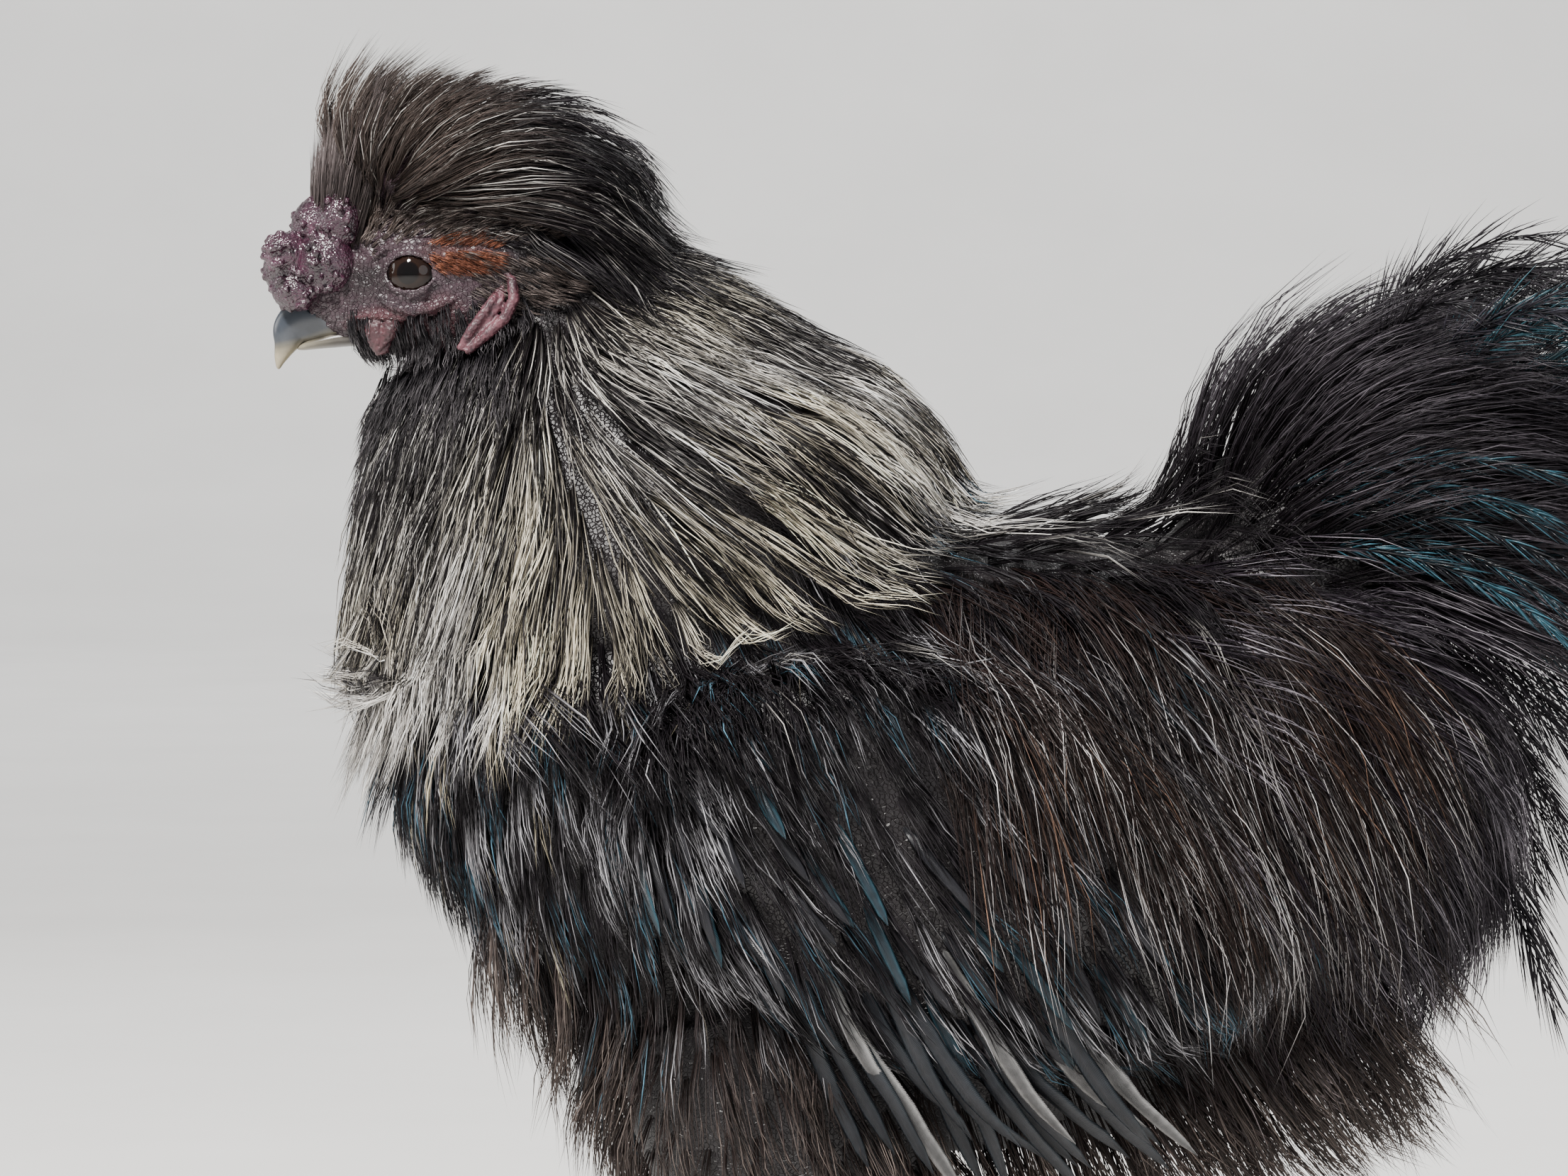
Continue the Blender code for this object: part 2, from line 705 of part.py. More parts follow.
def toe_rows(side, toe):
    """The rows of one toe from the palm to its end, and the direction it points."""
    degrees, reach, tip_rise = TOES[toe]
    turn = math.radians(degrees)
    heading = Vector((-math.cos(turn), side * math.sin(turn), 0))
    rows = []
    for share, size in ((0.0, 1.15), (0.35, 1.0), (0.6, 1.08), (0.85, 0.92), (1.0, 0.7)):
        centre = side_point(PALM, side) + heading * reach * share
        half = TOE_HALF * size
        centre.z = half - SOLE_CUT + tip_rise * (0.4 + 0.6 * share)
        rows.append((*centre, half, half))
    return tuple(rows), heading


def claw_rows(side, toe):
    """The rows of one claw: it starts inside the toe's end and curves down to its point."""
    toe_line, heading = toe_rows(side, toe)
    start = Vector(toe_line[-1][:3]) - heading * 0.003
    rows = []
    for share, size, sag in ((0.0, 1.0, 0.0), (0.35, 0.85, -0.0004), (0.7, 0.5, 0.0004), (1.0, 0.0, 0.0016)):
        centre = start + heading * CLAW_LENGTH * share - UP * sag
        half = 0.0024 * size
        rows.append((*centre, half, half * 0.85))
    return tuple(rows)


def floor_slab():
    """A slab whose top is the floor, for cutting flat soles."""
    corners = [(x, y, z) for z in (-0.03, 0) for x, y in ((-0.2, -0.2), (0.2, -0.2), (0.2, 0.2), (-0.2, 0.2))]
    faces = [(3, 2, 1, 0), (4, 5, 6, 7)] + [(i, (i + 1) % 4, 4 + (i + 1) % 4, 4 + i) for i in range(4)]
    return [Vector(c) for c in corners], faces


FINISHES = {
    "head": ((0.150, 0.110, 0.125), 0.60),
    "comb": ((0.085, 0.030, 0.045), 0.42),
    "beak_upper": ((0.130, 0.135, 0.150), 0.38),
    "beak_lower": ((0.420, 0.390, 0.330), 0.42),
    "eye": ((0.010, 0.007, 0.006), 0.06),
    "earlobe": ((0.260, 0.105, 0.140), 0.50),
    "wattle": ((0.180, 0.035, 0.050), 0.50),
    "crest": ((0.040, 0.034, 0.034), 0.75),
    "neck": ((0.420, 0.410, 0.390), 0.65),
    "torso": ((0.026, 0.024, 0.026), 0.75),
    "wing": ((0.060, 0.066, 0.078), 0.60),
    "tail": ((0.022, 0.025, 0.032), 0.60),
    "thigh": ((0.055, 0.045, 0.042), 0.80),
    "shank": ((0.090, 0.095, 0.110), 0.60),
    "foot": ((0.100, 0.105, 0.120), 0.60),
    "claw": ((0.330, 0.310, 0.280), 0.45),
}

nodes = {}
clear_scene()

comb_shapes = []
comb_grown = []
for place, radii in COMB_BULBS:
    for sign in (-1, 1) if place[1] else (1,):
        comb_shapes.append(ball(side_point(place, sign), radii, *FACETS["comb"]))
        comb_grown.append(ball(side_point(place, sign), radii, *FACETS["comb"], GAP))
crest_grown = swept(CREST_ROWS, *FACETS["crest"], GAP)

nodes["torso"] = new_object("torso", swept(TORSO_ROWS, *FACETS["torso"]))
nodes["neck"] = new_object("neck", swept(NECK_ROWS, *FACETS["neck"]))
nodes["head"] = new_object("head", swept(HEAD_ROWS, *FACETS["head"]))
nodes["tail"] = new_object("tail", swept(TAIL_ROWS, *FACETS["tail"]))
nodes["comb"] = new_object("comb", comb_shapes[0])
nodes["beak_upper"] = new_object("beak_upper", swept(BEAK_UPPER_ROWS, *FACETS["beak_upper"]))
nodes["beak_lower"] = new_object("beak_lower", swept(BEAK_LOWER_ROWS, *FACETS["beak_lower"]))
nodes["crest"] = new_object("crest", swept(CREST_ROWS, *FACETS["crest"]))
solve(nodes["comb"], "UNION", comb_shapes[1:])

head_grown = [swept(HEAD_ROWS, *FACETS["head"], GAP)]
torso_cuts = [swept(NECK_ROWS, *FACETS["neck"], GAP), swept(TAIL_ROWS, *FACETS["tail"], GAP)]
head_cuts = []
lobe_cuts = []
head_ridges = []
nostrils = []
for name, side in SIDES.items():
    eye = side_point(EYE, side)
    radii = (EYE_RADIUS,) * 3
    nodes["eye_" + name] = new_object("eye_" + name, ball(eye, radii, *FACETS["eye"]))
    head_cuts.append(ball(eye, radii, *FACETS["eye"], GAP))
    corner, size = MOUTH_CORNER
    head_cuts.append(ball(side_point(corner, side), size, *FACETS["opening"]))
    nostril, size = NOSTRIL
    nostrils.append(ball(side_point(nostril, side), size, *FACETS["opening"]))
    for rows in FACE_FOLDS:
        head_ridges.append(swept(mirrored(rows, side), *FACETS["fold"]))
        head_grown.append(swept(mirrored(rows, side), *FACETS["fold"], GAP))
    head_ridges.append(lid_ring(side))

    wing_rows = mirrored(WING_ROWS, side)
    nodes["wing_" + name] = new_object("wing_" + name, swept(wing_rows, *FACETS["wing"]))
    torso_cuts.append(swept(wing_rows, *FACETS["wing"], GAP))
    thigh_rows = mirrored(THIGH_ROWS, side)
    nodes["thigh_" + name] = new_object("thigh_" + name, swept(thigh_rows, *FACETS["thigh"]))
    torso_cuts.append(swept(thigh_rows, *FACETS["thigh"], GAP))
    shank_rows = mirrored(SHANK_ROWS, side)
    nodes["shank_" + name] = new_object("shank_" + name, swept(shank_rows, *FACETS["shank"]))
    solve(nodes["thigh_" + name], "DIFFERENCE", [swept(shank_rows, *FACETS["shank"], GAP)])

    foot = new_object("foot_" + name, ball(side_point(PALM, side), PALM_RADII, *FACETS["palm"]))
    nodes["foot_" + name] = foot
    solve(foot, "UNION", [swept(toe_rows(side, toe)[0], *FACETS["toe"]) for toe in TOES])
    solve(foot, "DIFFERENCE", [floor_slab(), swept(shank_rows, *FACETS["shank"], GAP)])
    for toe in TOES:
        claw = "claw_%s_%d" % (name, toe)
        nodes[claw] = new_object(claw, swept(claw_rows(side, toe), *FACETS["claw"]))
        solve(nodes[claw], "DIFFERENCE", [swept(toe_rows(side, toe)[0], *FACETS["toe"], GAP)])

for name, side in SIDES.items():
    wattle = new_object("wattle_" + name, swept(mirrored(WATTLE_ROWS, side), *FACETS["wattle"]))
    nodes["wattle_" + name] = solve(wattle, "DIFFERENCE", head_grown)
    folds = [mirrored(rows, side) for rows in LOBE_ROWS]
    lobe = new_object("earlobe_" + name, swept(folds[0], *FACETS["earlobe"]))
    solve(lobe, "UNION", [swept(folds[1], *FACETS["earlobe"])])
    nodes["earlobe_" + name] = solve(lobe, "DIFFERENCE", head_grown)
    lobe_cuts += [swept(rows, *FACETS["earlobe"], GAP) for rows in folds]

solve(nodes["head"], "UNION", head_ridges)
solve(nodes["head"], "DIFFERENCE", head_cuts)
solve(nodes["torso"], "DIFFERENCE", torso_cuts)
solve(nodes["comb"], "DIFFERENCE", head_grown)
solve(nodes["crest"], "DIFFERENCE", head_grown + comb_grown)
solve(nodes["neck"], "DIFFERENCE", [*head_grown, crest_grown, *lobe_cuts])
solve(nodes["beak_lower"], "DIFFERENCE", head_grown)
lower_grown = swept(BEAK_LOWER_ROWS, *FACETS["beak_lower"], GAP)
solve(nodes["beak_upper"], "DIFFERENCE", [*head_grown, *comb_grown, lower_grown, *nostrils])

GROUNDS = {
    "torso": Ground(swept(TORSO_ROWS, 40, 48)),
    "neck": Ground(swept(NECK_ROWS, 30, 48)),
    "tail": Ground(swept(TAIL_ROWS, 20, 28)),
    "crest": Ground(swept(CREST_ROWS, 30, 32)),
}
fine = [
    swept(TORSO_ROWS, 40, 48),
    swept(NECK_ROWS, 30, 48),
    swept(TAIL_ROWS, 20, 28),
    swept(HEAD_ROWS, 30, 32),
    swept(CREST_ROWS, 30, 32),
]
for name, side in SIDES.items():
    for part, rows in (("wing_", WING_ROWS), ("thigh_", THIGH_ROWS), ("shank_", SHANK_ROWS)):
        shape = swept(mirrored(rows, side), 30, 32)
        GROUNDS[part + name] = Ground(shape)
        fine.append(shape)
    foot_shapes = [ball(side_point(PALM, side), PALM_RADII, 24, 16)]
    foot_shapes += [swept(toe_rows(side, toe)[0], 12, 12) for toe in TOES]
    GROUNDS["foot_" + name] = Ground(*foot_shapes)
    fine += foot_shapes
EVERYWHERE = Ground(*fine)

for name, side in SIDES.items():
    outer = 90 * side
    plumes = Plumage("shank_" + name)
    shank_rows = mirrored(SHANK_ROWS, side)
    for share, angles in ((0.45, (outer - 40, outer, outer + 40)), (0.7, (outer - 30, outer + 30))):
        plumes.lay_row(shank_rows, share, angles, shank_lie, 0.027, 0.009, 0.4, 0.009, 0.0014, 2)
    plumes.fuse()
    plumes = Plumage("foot_" + name)
    laterals = [angle * side for angle in FOOT_FEATHERS]
    plumes.fan(side_point(PALM, side), BACK, 24, laterals, 0.026, 34, 0.009, 0.0014, 0.0, 2)
    plumes.fuse()
    plumes = Plumage("thigh_" + name)
    thigh_rows = mirrored(THIGH_ROWS, side)
    for share, first, last, count, length, rise in THIGH_COAT:
        angles = spread(first, last, count)
        plumes.lay_row(thigh_rows, share, angles, fluff_lie, length, rise, 0.35, 0.020, 0.0026, 2)
    plumes.fuse()

plumes = Plumage("tail", (0.55, 0.9, 1.0, 0.8))
for pitch, laterals, length, droop, width in TAIL_FAN:
    bends = 3 if length < 0.09 else 4
    plumes.fan(TAIL_ROOT, BACK, pitch, laterals, length, droop, width, 0.0016, 0.6, bends)
for share, first, last, count, length, rise in TAIL_COAT:
    plumes.lay_row(TAIL_ROWS, share, spread(first, last, count), tail_lie, length, rise, 0.4, 0.022, 0.0022, 2)
plumes.fuse()

for name, side in SIDES.items():
    plumes = Plumage("wing_" + name, (0.6, 1.0, 0.95, 0.7))
    wing_rows = mirrored(WING_ROWS, side)
    for first, last, degrees, count, length, rise, cling, width, bends in WING_COAT:
        for i in range(count):
            share = first + (last - first) * i / max(1, count - 1)
            angles = (degrees * side,)
            plumes.lay_row(wing_rows, share, angles, wing_lie, length, rise, cling, width, 0.0016, bends)
    plumes.fuse()

plumes = Plumage("torso")
for coat, lie, cling, width, bends in (
    (RUMP_COAT, fluff_lie, 0.45, 0.020, 3),
    (BELLY_COAT, fluff_lie, 0.05, 0.022, 2),
    (BREAST_COAT, breast_lie, 0.7, 0.020, 2),
    (SADDLE_COAT, back_lie, 0.8, 0.022, 2),
):
    for share, first, last, count, length, rise in coat:
        plumes.lay_row(TORSO_ROWS, share, spread(first, last, count), lie, length, rise, cling, width, 0.0026, bends)
plumes.fuse()

plumes = Plumage("neck")
for share, first, last, count, length, rise in HACKLE_COAT:
    angles = spread(first, last, count)
    bends = 3 if share < 0.5 else 2
    plumes.lay_row(NECK_ROWS, share, angles, hackle_lie, length, rise, 0.9, 0.019, 0.0022, bends)
plumes.fuse()

plumes = Plumage("crest")
for share, first, last, count, length, rise in CREST_COAT:
    plumes.lay_row(CREST_ROWS, share, spread(first, last, count), crest_lie, length, rise, 0.35, 0.014, 0.0022)
plumes.fuse()

for name, obj in nodes.items():
    kind = name.split("_")[0] if name not in FINISHES else name
    colour, roughness = FINISHES[kind]
    obj.data.materials.clear()
    obj.data.materials.append(material(name + "_finish", colour, roughness))
    obj.data.transform(Matrix.Translation(CENTRING))
    for polygon in obj.data.polygons:
        polygon.use_smooth = True
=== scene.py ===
"""The looks of a life-size silkie cock: skin, silky coat, comb, bill, eyes, claws and studio.

Skins and coat grow from the same named sizes as the solids, and move with them through the eye's place.
Every strand, barb and vane is a closed tapered mesh that lies over the body as the bird's feathers do.
"""

import math

import bmesh
import bpy
import numpy as np
from mathutils import Matrix, Vector, noise
from mathutils.bvhtree import BVHTree


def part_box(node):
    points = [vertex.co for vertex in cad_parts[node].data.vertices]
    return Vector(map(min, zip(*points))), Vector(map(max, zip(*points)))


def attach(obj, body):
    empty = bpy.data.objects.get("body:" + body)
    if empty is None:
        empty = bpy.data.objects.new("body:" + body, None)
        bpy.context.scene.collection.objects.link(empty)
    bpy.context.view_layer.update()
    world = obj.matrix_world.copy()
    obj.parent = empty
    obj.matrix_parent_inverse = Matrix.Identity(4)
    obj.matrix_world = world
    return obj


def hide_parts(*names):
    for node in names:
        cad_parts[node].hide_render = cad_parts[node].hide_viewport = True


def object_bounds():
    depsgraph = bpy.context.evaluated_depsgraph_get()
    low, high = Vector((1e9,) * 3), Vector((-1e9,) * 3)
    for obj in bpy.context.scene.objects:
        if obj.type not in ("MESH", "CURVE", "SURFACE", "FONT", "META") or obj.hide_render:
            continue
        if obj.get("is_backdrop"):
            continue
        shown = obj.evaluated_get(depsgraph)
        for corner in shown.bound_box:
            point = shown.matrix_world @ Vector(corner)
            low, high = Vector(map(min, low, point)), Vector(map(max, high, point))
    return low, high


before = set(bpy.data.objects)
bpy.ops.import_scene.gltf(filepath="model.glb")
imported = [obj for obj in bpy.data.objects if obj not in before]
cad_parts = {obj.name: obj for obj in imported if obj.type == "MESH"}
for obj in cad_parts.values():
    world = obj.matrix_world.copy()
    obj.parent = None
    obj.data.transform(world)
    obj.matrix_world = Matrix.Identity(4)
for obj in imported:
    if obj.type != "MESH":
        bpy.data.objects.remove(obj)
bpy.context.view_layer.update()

DOWN = Vector((0, 0, -1))
UP = Vector((0, 0, 1))
BACK = Vector((1, 0, 0))
ACROSS = Vector((0, 1, 0))
SIDES = {"left": -1, "right": 1}
# How far outside the body a ray to it starts.
REACH = 0.25

# Rows of (x, y, z, half height, half width) along each core's middle. A row of no size is a round end.
TORSO_ROWS = (
    (-0.162, 0, 0.200, 0, 0),
    (-0.150, 0, 0.198, 0.034, 0.036),
    (-0.120, 0, 0.185, 0.061, 0.060),
    (-0.080, 0, 0.169, 0.080, 0.070),
    (-0.040, 0, 0.163, 0.083, 0.074),
    (0.000, 0, 0.163, 0.083, 0.075),
    (0.040, 0, 0.167, 0.079, 0.071),
    (0.075, 0, 0.174, 0.069, 0.059),
    (0.101, 0, 0.180, 0.046, 0.040),
    (0.115, 0, 0.182, 0, 0),
)
NECK_ROWS = (
    (-0.0900, 0, 0.200, 0.0700, 0.0500),
    (-0.0965, 0, 0.231, 0.0800, 0.0560),
    (-0.1100, 0, 0.257, 0.0670, 0.0460),
    (-0.1215, 0, 0.278, 0.0540, 0.0340),
    (-0.1300, 0, 0.293, 0.0420, 0.0200),
    (-0.1360, 0, 0.304, 0.0275, 0.0120),
)
HEAD_ROWS = (
    (-0.188, 0, 0.3035, 0, 0),
    (-0.181, 0, 0.3040, 0.0100, 0.0080),
    (-0.171, 0, 0.3060, 0.0170, 0.0115),
    (-0.159, 0, 0.3090, 0.0225, 0.0145),
    (-0.146, 0, 0.3100, 0.0250, 0.0168),
    (-0.133, 0, 0.3100, 0.0235, 0.0170),
    (-0.121, 0, 0.3090, 0.0170, 0.0140),
    (-0.112, 0, 0.3080, 0, 0),
)
TAIL_ROWS = (
    (0.047, 0, 0.208, 0.022, 0.024),
    (0.062, 0, 0.227, 0.034, 0.034),
    (0.082, 0, 0.250, 0.036, 0.036),
    (0.099, 0, 0.270, 0.026, 0.026),
    (0.110, 0, 0.283, 0, 0),
)
WING_ROWS = (
    (-0.098, 0.064, 0.190, 0, 0),
    (-0.086, 0.070, 0.184, 0.026, 0.010),
    (-0.058, 0.075, 0.174, 0.041, 0.012),
    (-0.022, 0.077, 0.163, 0.044, 0.012),
    (0.014, 0.074, 0.153, 0.036, 0.011),
    (0.042, 0.070, 0.146, 0.022, 0.009),
    (0.058, 0.066, 0.142, 0, 0),
)
THIGH_ROWS = (
    (-0.068, 0.036, 0.128, 0.040, 0.028),
    (-0.062, 0.038, 0.102, 0.044, 0.030),
    (-0.050, 0.040, 0.080, 0.038, 0.027),
    (-0.036, 0.041, 0.061, 0.025, 0.020),
    (-0.028, 0.042, 0.048, 0.013, 0.013),
)
SHANK_ROWS = (
    (-0.029, 0.042, 0.064, 0.0085, 0.0080),
    (-0.027, 0.042, 0.052, 0.0085, 0.0080),
    (-0.030, 0.043, 0.036, 0.0062, 0.0058),
    (-0.034, 0.044, 0.020, 0.0066, 0.0062),
    (-0.035, 0.044, 0.010, 0.0068, 0.0064),
)
BEAK_UPPER_ROWS = (
    (-0.1700, 0, 0.3000, 0.0060, 0.0062),
    (-0.1790, 0, 0.2996, 0.0066, 0.0058),
    (-0.1855, 0, 0.2982, 0.0064, 0.0046),
    (-0.1895, 0, 0.2955, 0.0052, 0.0034),
    (-0.1914, 0, 0.2912, 0.0030, 0.0022),
    (-0.1927, 0, 0.2877, 0.0015, 0.0012),
    (-0.1932, 0, 0.2852, 0, 0),
)
BEAK_LOWER_ROWS = (
    (-0.1680, 0, 0.2942, 0.0026, 0.0050),
    (-0.1760, 0, 0.2934, 0.0024, 0.0046),
    (-0.1830, 0, 0.2921, 0.0017, 0.0036),
    (-0.1884, 0, 0.2905, 0, 0),
)
CREST_ROWS = (
    (-0.1735, 0, 0.3290, 0, 0),
    (-0.1660, 0, 0.3330, 0.0120, 0.0130),
    (-0.1500, 0, 0.3370, 0.0165, 0.0190),
    (-0.1330, 0, 0.3360, 0.0170, 0.0205),
    (-0.1180, 0, 0.3280, 0.0150, 0.0170),
    (-0.1080, 0, 0.3180, 0, 0),
)
# Soft ridges of the face: the brow, the bag under the eye and the fold behind the mouth.
FACE_FOLDS = (
    (
        (-0.1690, 0.0125, 0.3130, 0, 0),
        (-0.1640, 0.0138, 0.3168, 0.0010, 0.0008),
        (-0.1560, 0.0148, 0.3182, 0.0010, 0.0008),
        (-0.1475, 0.0162, 0.3160, 0, 0),
    ),
    (
        (-0.1680, 0.0120, 0.3055, 0, 0),
        (-0.1625, 0.0138, 0.3018, 0.0015, 0.0013),
        (-0.1545, 0.0152, 0.3008, 0.0016, 0.0014),
        (-0.1460, 0.0164, 0.3040, 0, 0),
    ),
    (
        (-0.1740, 0.0090, 0.2980, 0, 0),
        (-0.1690, 0.0106, 0.2992, 0.0016, 0.0013),
        (-0.1630, 0.0122, 0.2990, 0.0017, 0.0013),
        (-0.1560, 0.0136, 0.2985, 0, 0),
    ),
)
# The comb's lobes, as (x, y, z) and radii. Those off the middle come in pairs.
COMB_BULBS = (
    ((-0.1865, 0, 0.3110), (0.0112, 0.0105, 0.0095)),
    ((-0.1802, 0, 0.3215), (0.0102, 0.0105, 0.0100)),
    ((-0.1762, 0, 0.3272), (0.0062, 0.0082, 0.0064)),
    ((-0.1800, 0.0080, 0.3125), (0.0082, 0.0064, 0.0085)),
    ((-0.1768, 0.0074, 0.3236), (0.0066, 0.0062, 0.0080)),
    ((-0.1885, 0.0062, 0.3055), (0.0066, 0.0056, 0.0056)),
    ((-0.1905, 0.0058, 0.3150), (0.0066, 0.0056, 0.0062)),
)
EYE = Vector((-0.1573, 0.0094, 0.3100))
EYE_RADIUS = 0.0080
EYE_TURN = 0.2
TAIL_ROOT = Vector((0.080, 0, 0.248))
PALM = Vector((-0.036, 0.044, 0.0075))
PALM_RADII = (0.0110, 0.0100, 0.0095)
TOE_HALF = 0.0044
SOLE_CUT = 0.0006
CLAW_LENGTH = 0.013
# Toe number to heading in degrees from straight ahead (outwards positive), reach, and height of its tip.
TOES = {
    1: (-158, 0.024, 0),
    2: (-32, 0.041, 0),
    3: (1, 0.052, 0),
    4: (33, 0.044, 0),
    5: (-116, 0.021, 0.009),
}

low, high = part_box("eye_left")
SHIFT = Vector(((low.x + high.x) / 2 - EYE.x, 0, (low.z + high.z) / 2 - EYE.z))
# Both kinds of chance are seeded, as noise vectors start from the time of day otherwise.
SEED = 11
rng = np.random.default_rng(SEED)
noise.seed_set(SEED)


def mirrored(rows, side):
    return tuple((x, side * y, z, high, wide) for x, y, z, high, wide in rows)


def side_point(values, side):
    return Vector((values[0], side * values[1], values[2]))


def between(rows, share):
    """The row at this share of the way, on a Catmull-Rom curve. Half sizes blend as squares."""
    span = share * (len(rows) - 1)
    i = min(int(span), len(rows) - 2)
    t = span - i
    around = [rows[max(0, min(len(rows) - 1, i + k))] for k in (-1, 0, 1, 2)]
    made = []
    for column in range(5):
        a, b, c, d = (row[column] ** 2 if column > 2 else row[column] for row in around)
        value = b + t / 2 * (c - a + t * (2 * a - 5 * b + 4 * c - d + t * (3 * (b - c) + d - a)))
        made.append(math.sqrt(max(0, value)) if column > 2 else value)
    return made


# The step to either side of a section that gives its direction.
SECTION_STEP = 0.03
# A section smaller than the first is a point, and no half size is less than the second.
POINT_SIZE = 1e-5
LEAST_HALF = 0.0003


def section(rows, share):
    """The centre of the rows at this share, and the directions along, high and wide there."""
    ahead = Vector(between(rows, min(1, share + SECTION_STEP))[:3])
    behind = Vector(between(rows, max(0, share - SECTION_STEP))[:3])
    along = BACK if rows is TORSO_ROWS else (ahead - behind).normalized()
    wide = (ACROSS - along * ACROSS.dot(along)).normalized()
    return Vector(between(rows, share)[:3]), along, along.cross(wide), wide


def swept(rows, rings, sides, grow=0.0):
    """Vertices and outward faces of a closed body along the rows."""
    verts, loops = [], []
    for i in range(rings):
        share = i / (rings - 1)
        centre, along, high, wide = section(rows, share)
        half_high, half_wide = between(rows, share)[3:]
        push = along * grow * ((i == rings - 1) - (i == 0))
        if max(half_high, half_wide) < POINT_SIZE:
            loops.append([len(verts)])
            verts.append(centre + push)
            continue
        loops.append(list(range(len(verts), len(verts) + sides)))
        for k in range(sides):
            angle = 2 * math.pi * k / sides
            lift = high * math.cos(angle) * max(LEAST_HALF, half_high + grow)
            aside = wide * math.sin(angle) * max(LEAST_HALF, half_wide + grow)
            verts.append(centre + push + lift + aside)
    faces = []
    for low, top in zip(loops, loops[1:]):
        for k in range(sides):
            n = (k + 1) % sides
            if len(low) == 1:
                faces.append((low[0], top[k], top[n]))
            elif len(top) == 1:
                faces.append((low[n], low[k], top[0]))
            else:
                faces.append((low[k], top[k], top[n], low[n]))
    if len(loops[0]) > 1:
        faces.append(tuple(loops[0]))
    if len(loops[-1]) > 1:
        faces.append(tuple(reversed(loops[-1])))
    return verts, faces


def ball(centre, radii, around=32, rings=20, grow=0.0):
    """Vertices and faces of an ellipsoid. The faces are sorted, as their own order changes every run."""
    work = bmesh.new()
    bmesh.ops.create_uvsphere(work, u_segments=around, v_segments=rings, radius=1)
    work.verts.index_update()
    verts = [
        Vector([middle + c * (radius + grow) for middle, c, radius in zip(centre, v.co, radii)])
        for v in work.verts
    ]
    faces = []
    for face in work.faces:
        corners = [v.index for v in face.verts]
        first = corners.index(min(corners))
        faces.append(tuple(corners[first:] + corners[:first]))
    work.free()
    return verts, sorted(faces)


def tube(points, radii, sides=8, closed=False):
    """Vertices and outward faces of a round tube through the points."""
    verts, faces = [], []
    count = len(points)
    for i, (point, radius) in enumerate(zip(points, radii)):
        ahead = points[(i + 1) % count] if closed else points[min(i + 1, count - 1)]
        behind = points[i - 1] if closed or i else points[0]
        along = (ahead - behind).normalized()
        across = (along.orthogonal() if abs(along.y) > 0.9 else along.cross(ACROSS)).normalized()
        other = along.cross(across)
        for k in range(sides):
            angle = 2 * math.pi * k / sides
            verts.append(point + (across * math.cos(angle) + other * math.sin(angle)) * radius)
    for i in range(count if closed else count - 1):
        j = (i + 1) % count
        for k in range(sides):
            n = (k + 1) % sides
            faces.append((i * sides + k, i * sides + n, j * sides + n, j * sides + k))
    if not closed:
        faces.append(tuple(reversed(range(sides))))
        faces.append(tuple(range((count - 1) * sides, count * sides)))
    return verts, faces


def joined(shapes):
    verts, faces = [], []
    for shape_verts, shape_faces in shapes:
        faces += [tuple(len(verts) + i for i in face) for face in shape_faces]
        verts += shape_verts
    return verts, faces


def new_object(name, shape):
    verts, faces = shape
    mesh = bpy.data.meshes.new(name)
    mesh.from_pydata([tuple(v) for v in verts], [], faces)
    obj = bpy.data.objects.new(name, mesh)
    bpy.context.scene.collection.objects.link(obj)
    return obj


def baked(obj):
    """obj with its modifiers applied and its faces smooth."""
    graph = bpy.context.evaluated_depsgraph_get()
    made = bpy.data.meshes.new_from_object(obj.evaluated_get(graph))
    obj.modifiers.clear()
    old = obj.data
    obj.data = made
    bpy.data.meshes.remove(old)
    made.shade_smooth()
    return obj


def remeshed(name, shapes, voxel, smoothing):
    """One even closed surface round all the shapes."""
    obj = new_object(name, joined(shapes))
    remesh = obj.modifiers.new("remesh", "REMESH")
    remesh.mode = "VOXEL"
    remesh.voxel_size = voxel
    smooth = obj.modifiers.new("smooth", "SMOOTH")
    smooth.factor = 0.5
    smooth.iterations = smoothing
    return baked(obj)


def solve(obj, operation, tool):
    """Joins the tool to obj, or cuts it out of obj, and removes the tool."""
    modifier = obj.modifiers.new("solve", "BOOLEAN")
    modifier.operation = operation
    modifier.object = tool
    modifier.solver = "MANIFOLD"
    baked(obj)
    bpy.data.objects.remove(tool)


def node_tree(name, roughness, specular=0.5):
    """A new material, its tree and its shader."""
    made = bpy.data.materials.new(name)
    made.use_nodes = True
    tree = made.node_tree
    shader = tree.nodes["Principled BSDF"]
    shader.inputs["Roughness"].default_value = roughness
    shader.inputs["Specular IOR Level"].default_value = specular
    return made, tree, shader


def stored(tree, name, output):
    """What the mesh carries under this name, as the Attribute node's output of that name."""
    made = tree.nodes.new("ShaderNodeAttribute")
    made.attribute_name = name
    return made.outputs[output]


def texture(tree, kind, scale, output, **settings):
    """A texture over the object, with its other inputs set."""
    made = tree.nodes.new(kind)
    made.inputs["Scale"].default_value = scale
    for name, value in settings.items():
        made.inputs[name].default_value = value
    tree.links.new(tree.nodes.new("ShaderNodeTexCoord").outputs["Object"], made.inputs["Vector"])
    return made.outputs[output]


def speckle(tree, scale, detail):
    return texture(tree, "ShaderNodeTexNoise", scale, "Fac", Detail=detail, Roughness=0.6)


def cells(tree, scale, feature="F1"):
    """Distance from the middles of cells, or from their edges."""
    made = texture(tree, "ShaderNodeTexVoronoi", scale, "Distance")
    made.node.feature = feature
    return made


def ramp(tree, source, stops):
    """A colour ramp with stops of (place, colour)."""
    made = tree.nodes.new("ShaderNodeValToRGB")
    elements = made.color_ramp.elements
    while len(elements) < len(stops):
        elements.new(0.5)
    for element, (place, colour) in zip(elements, stops):
        element.position = place
        element.color = (*colour, 1)
    tree.links.new(source, made.inputs["Fac"])
    return made.outputs["Color"]


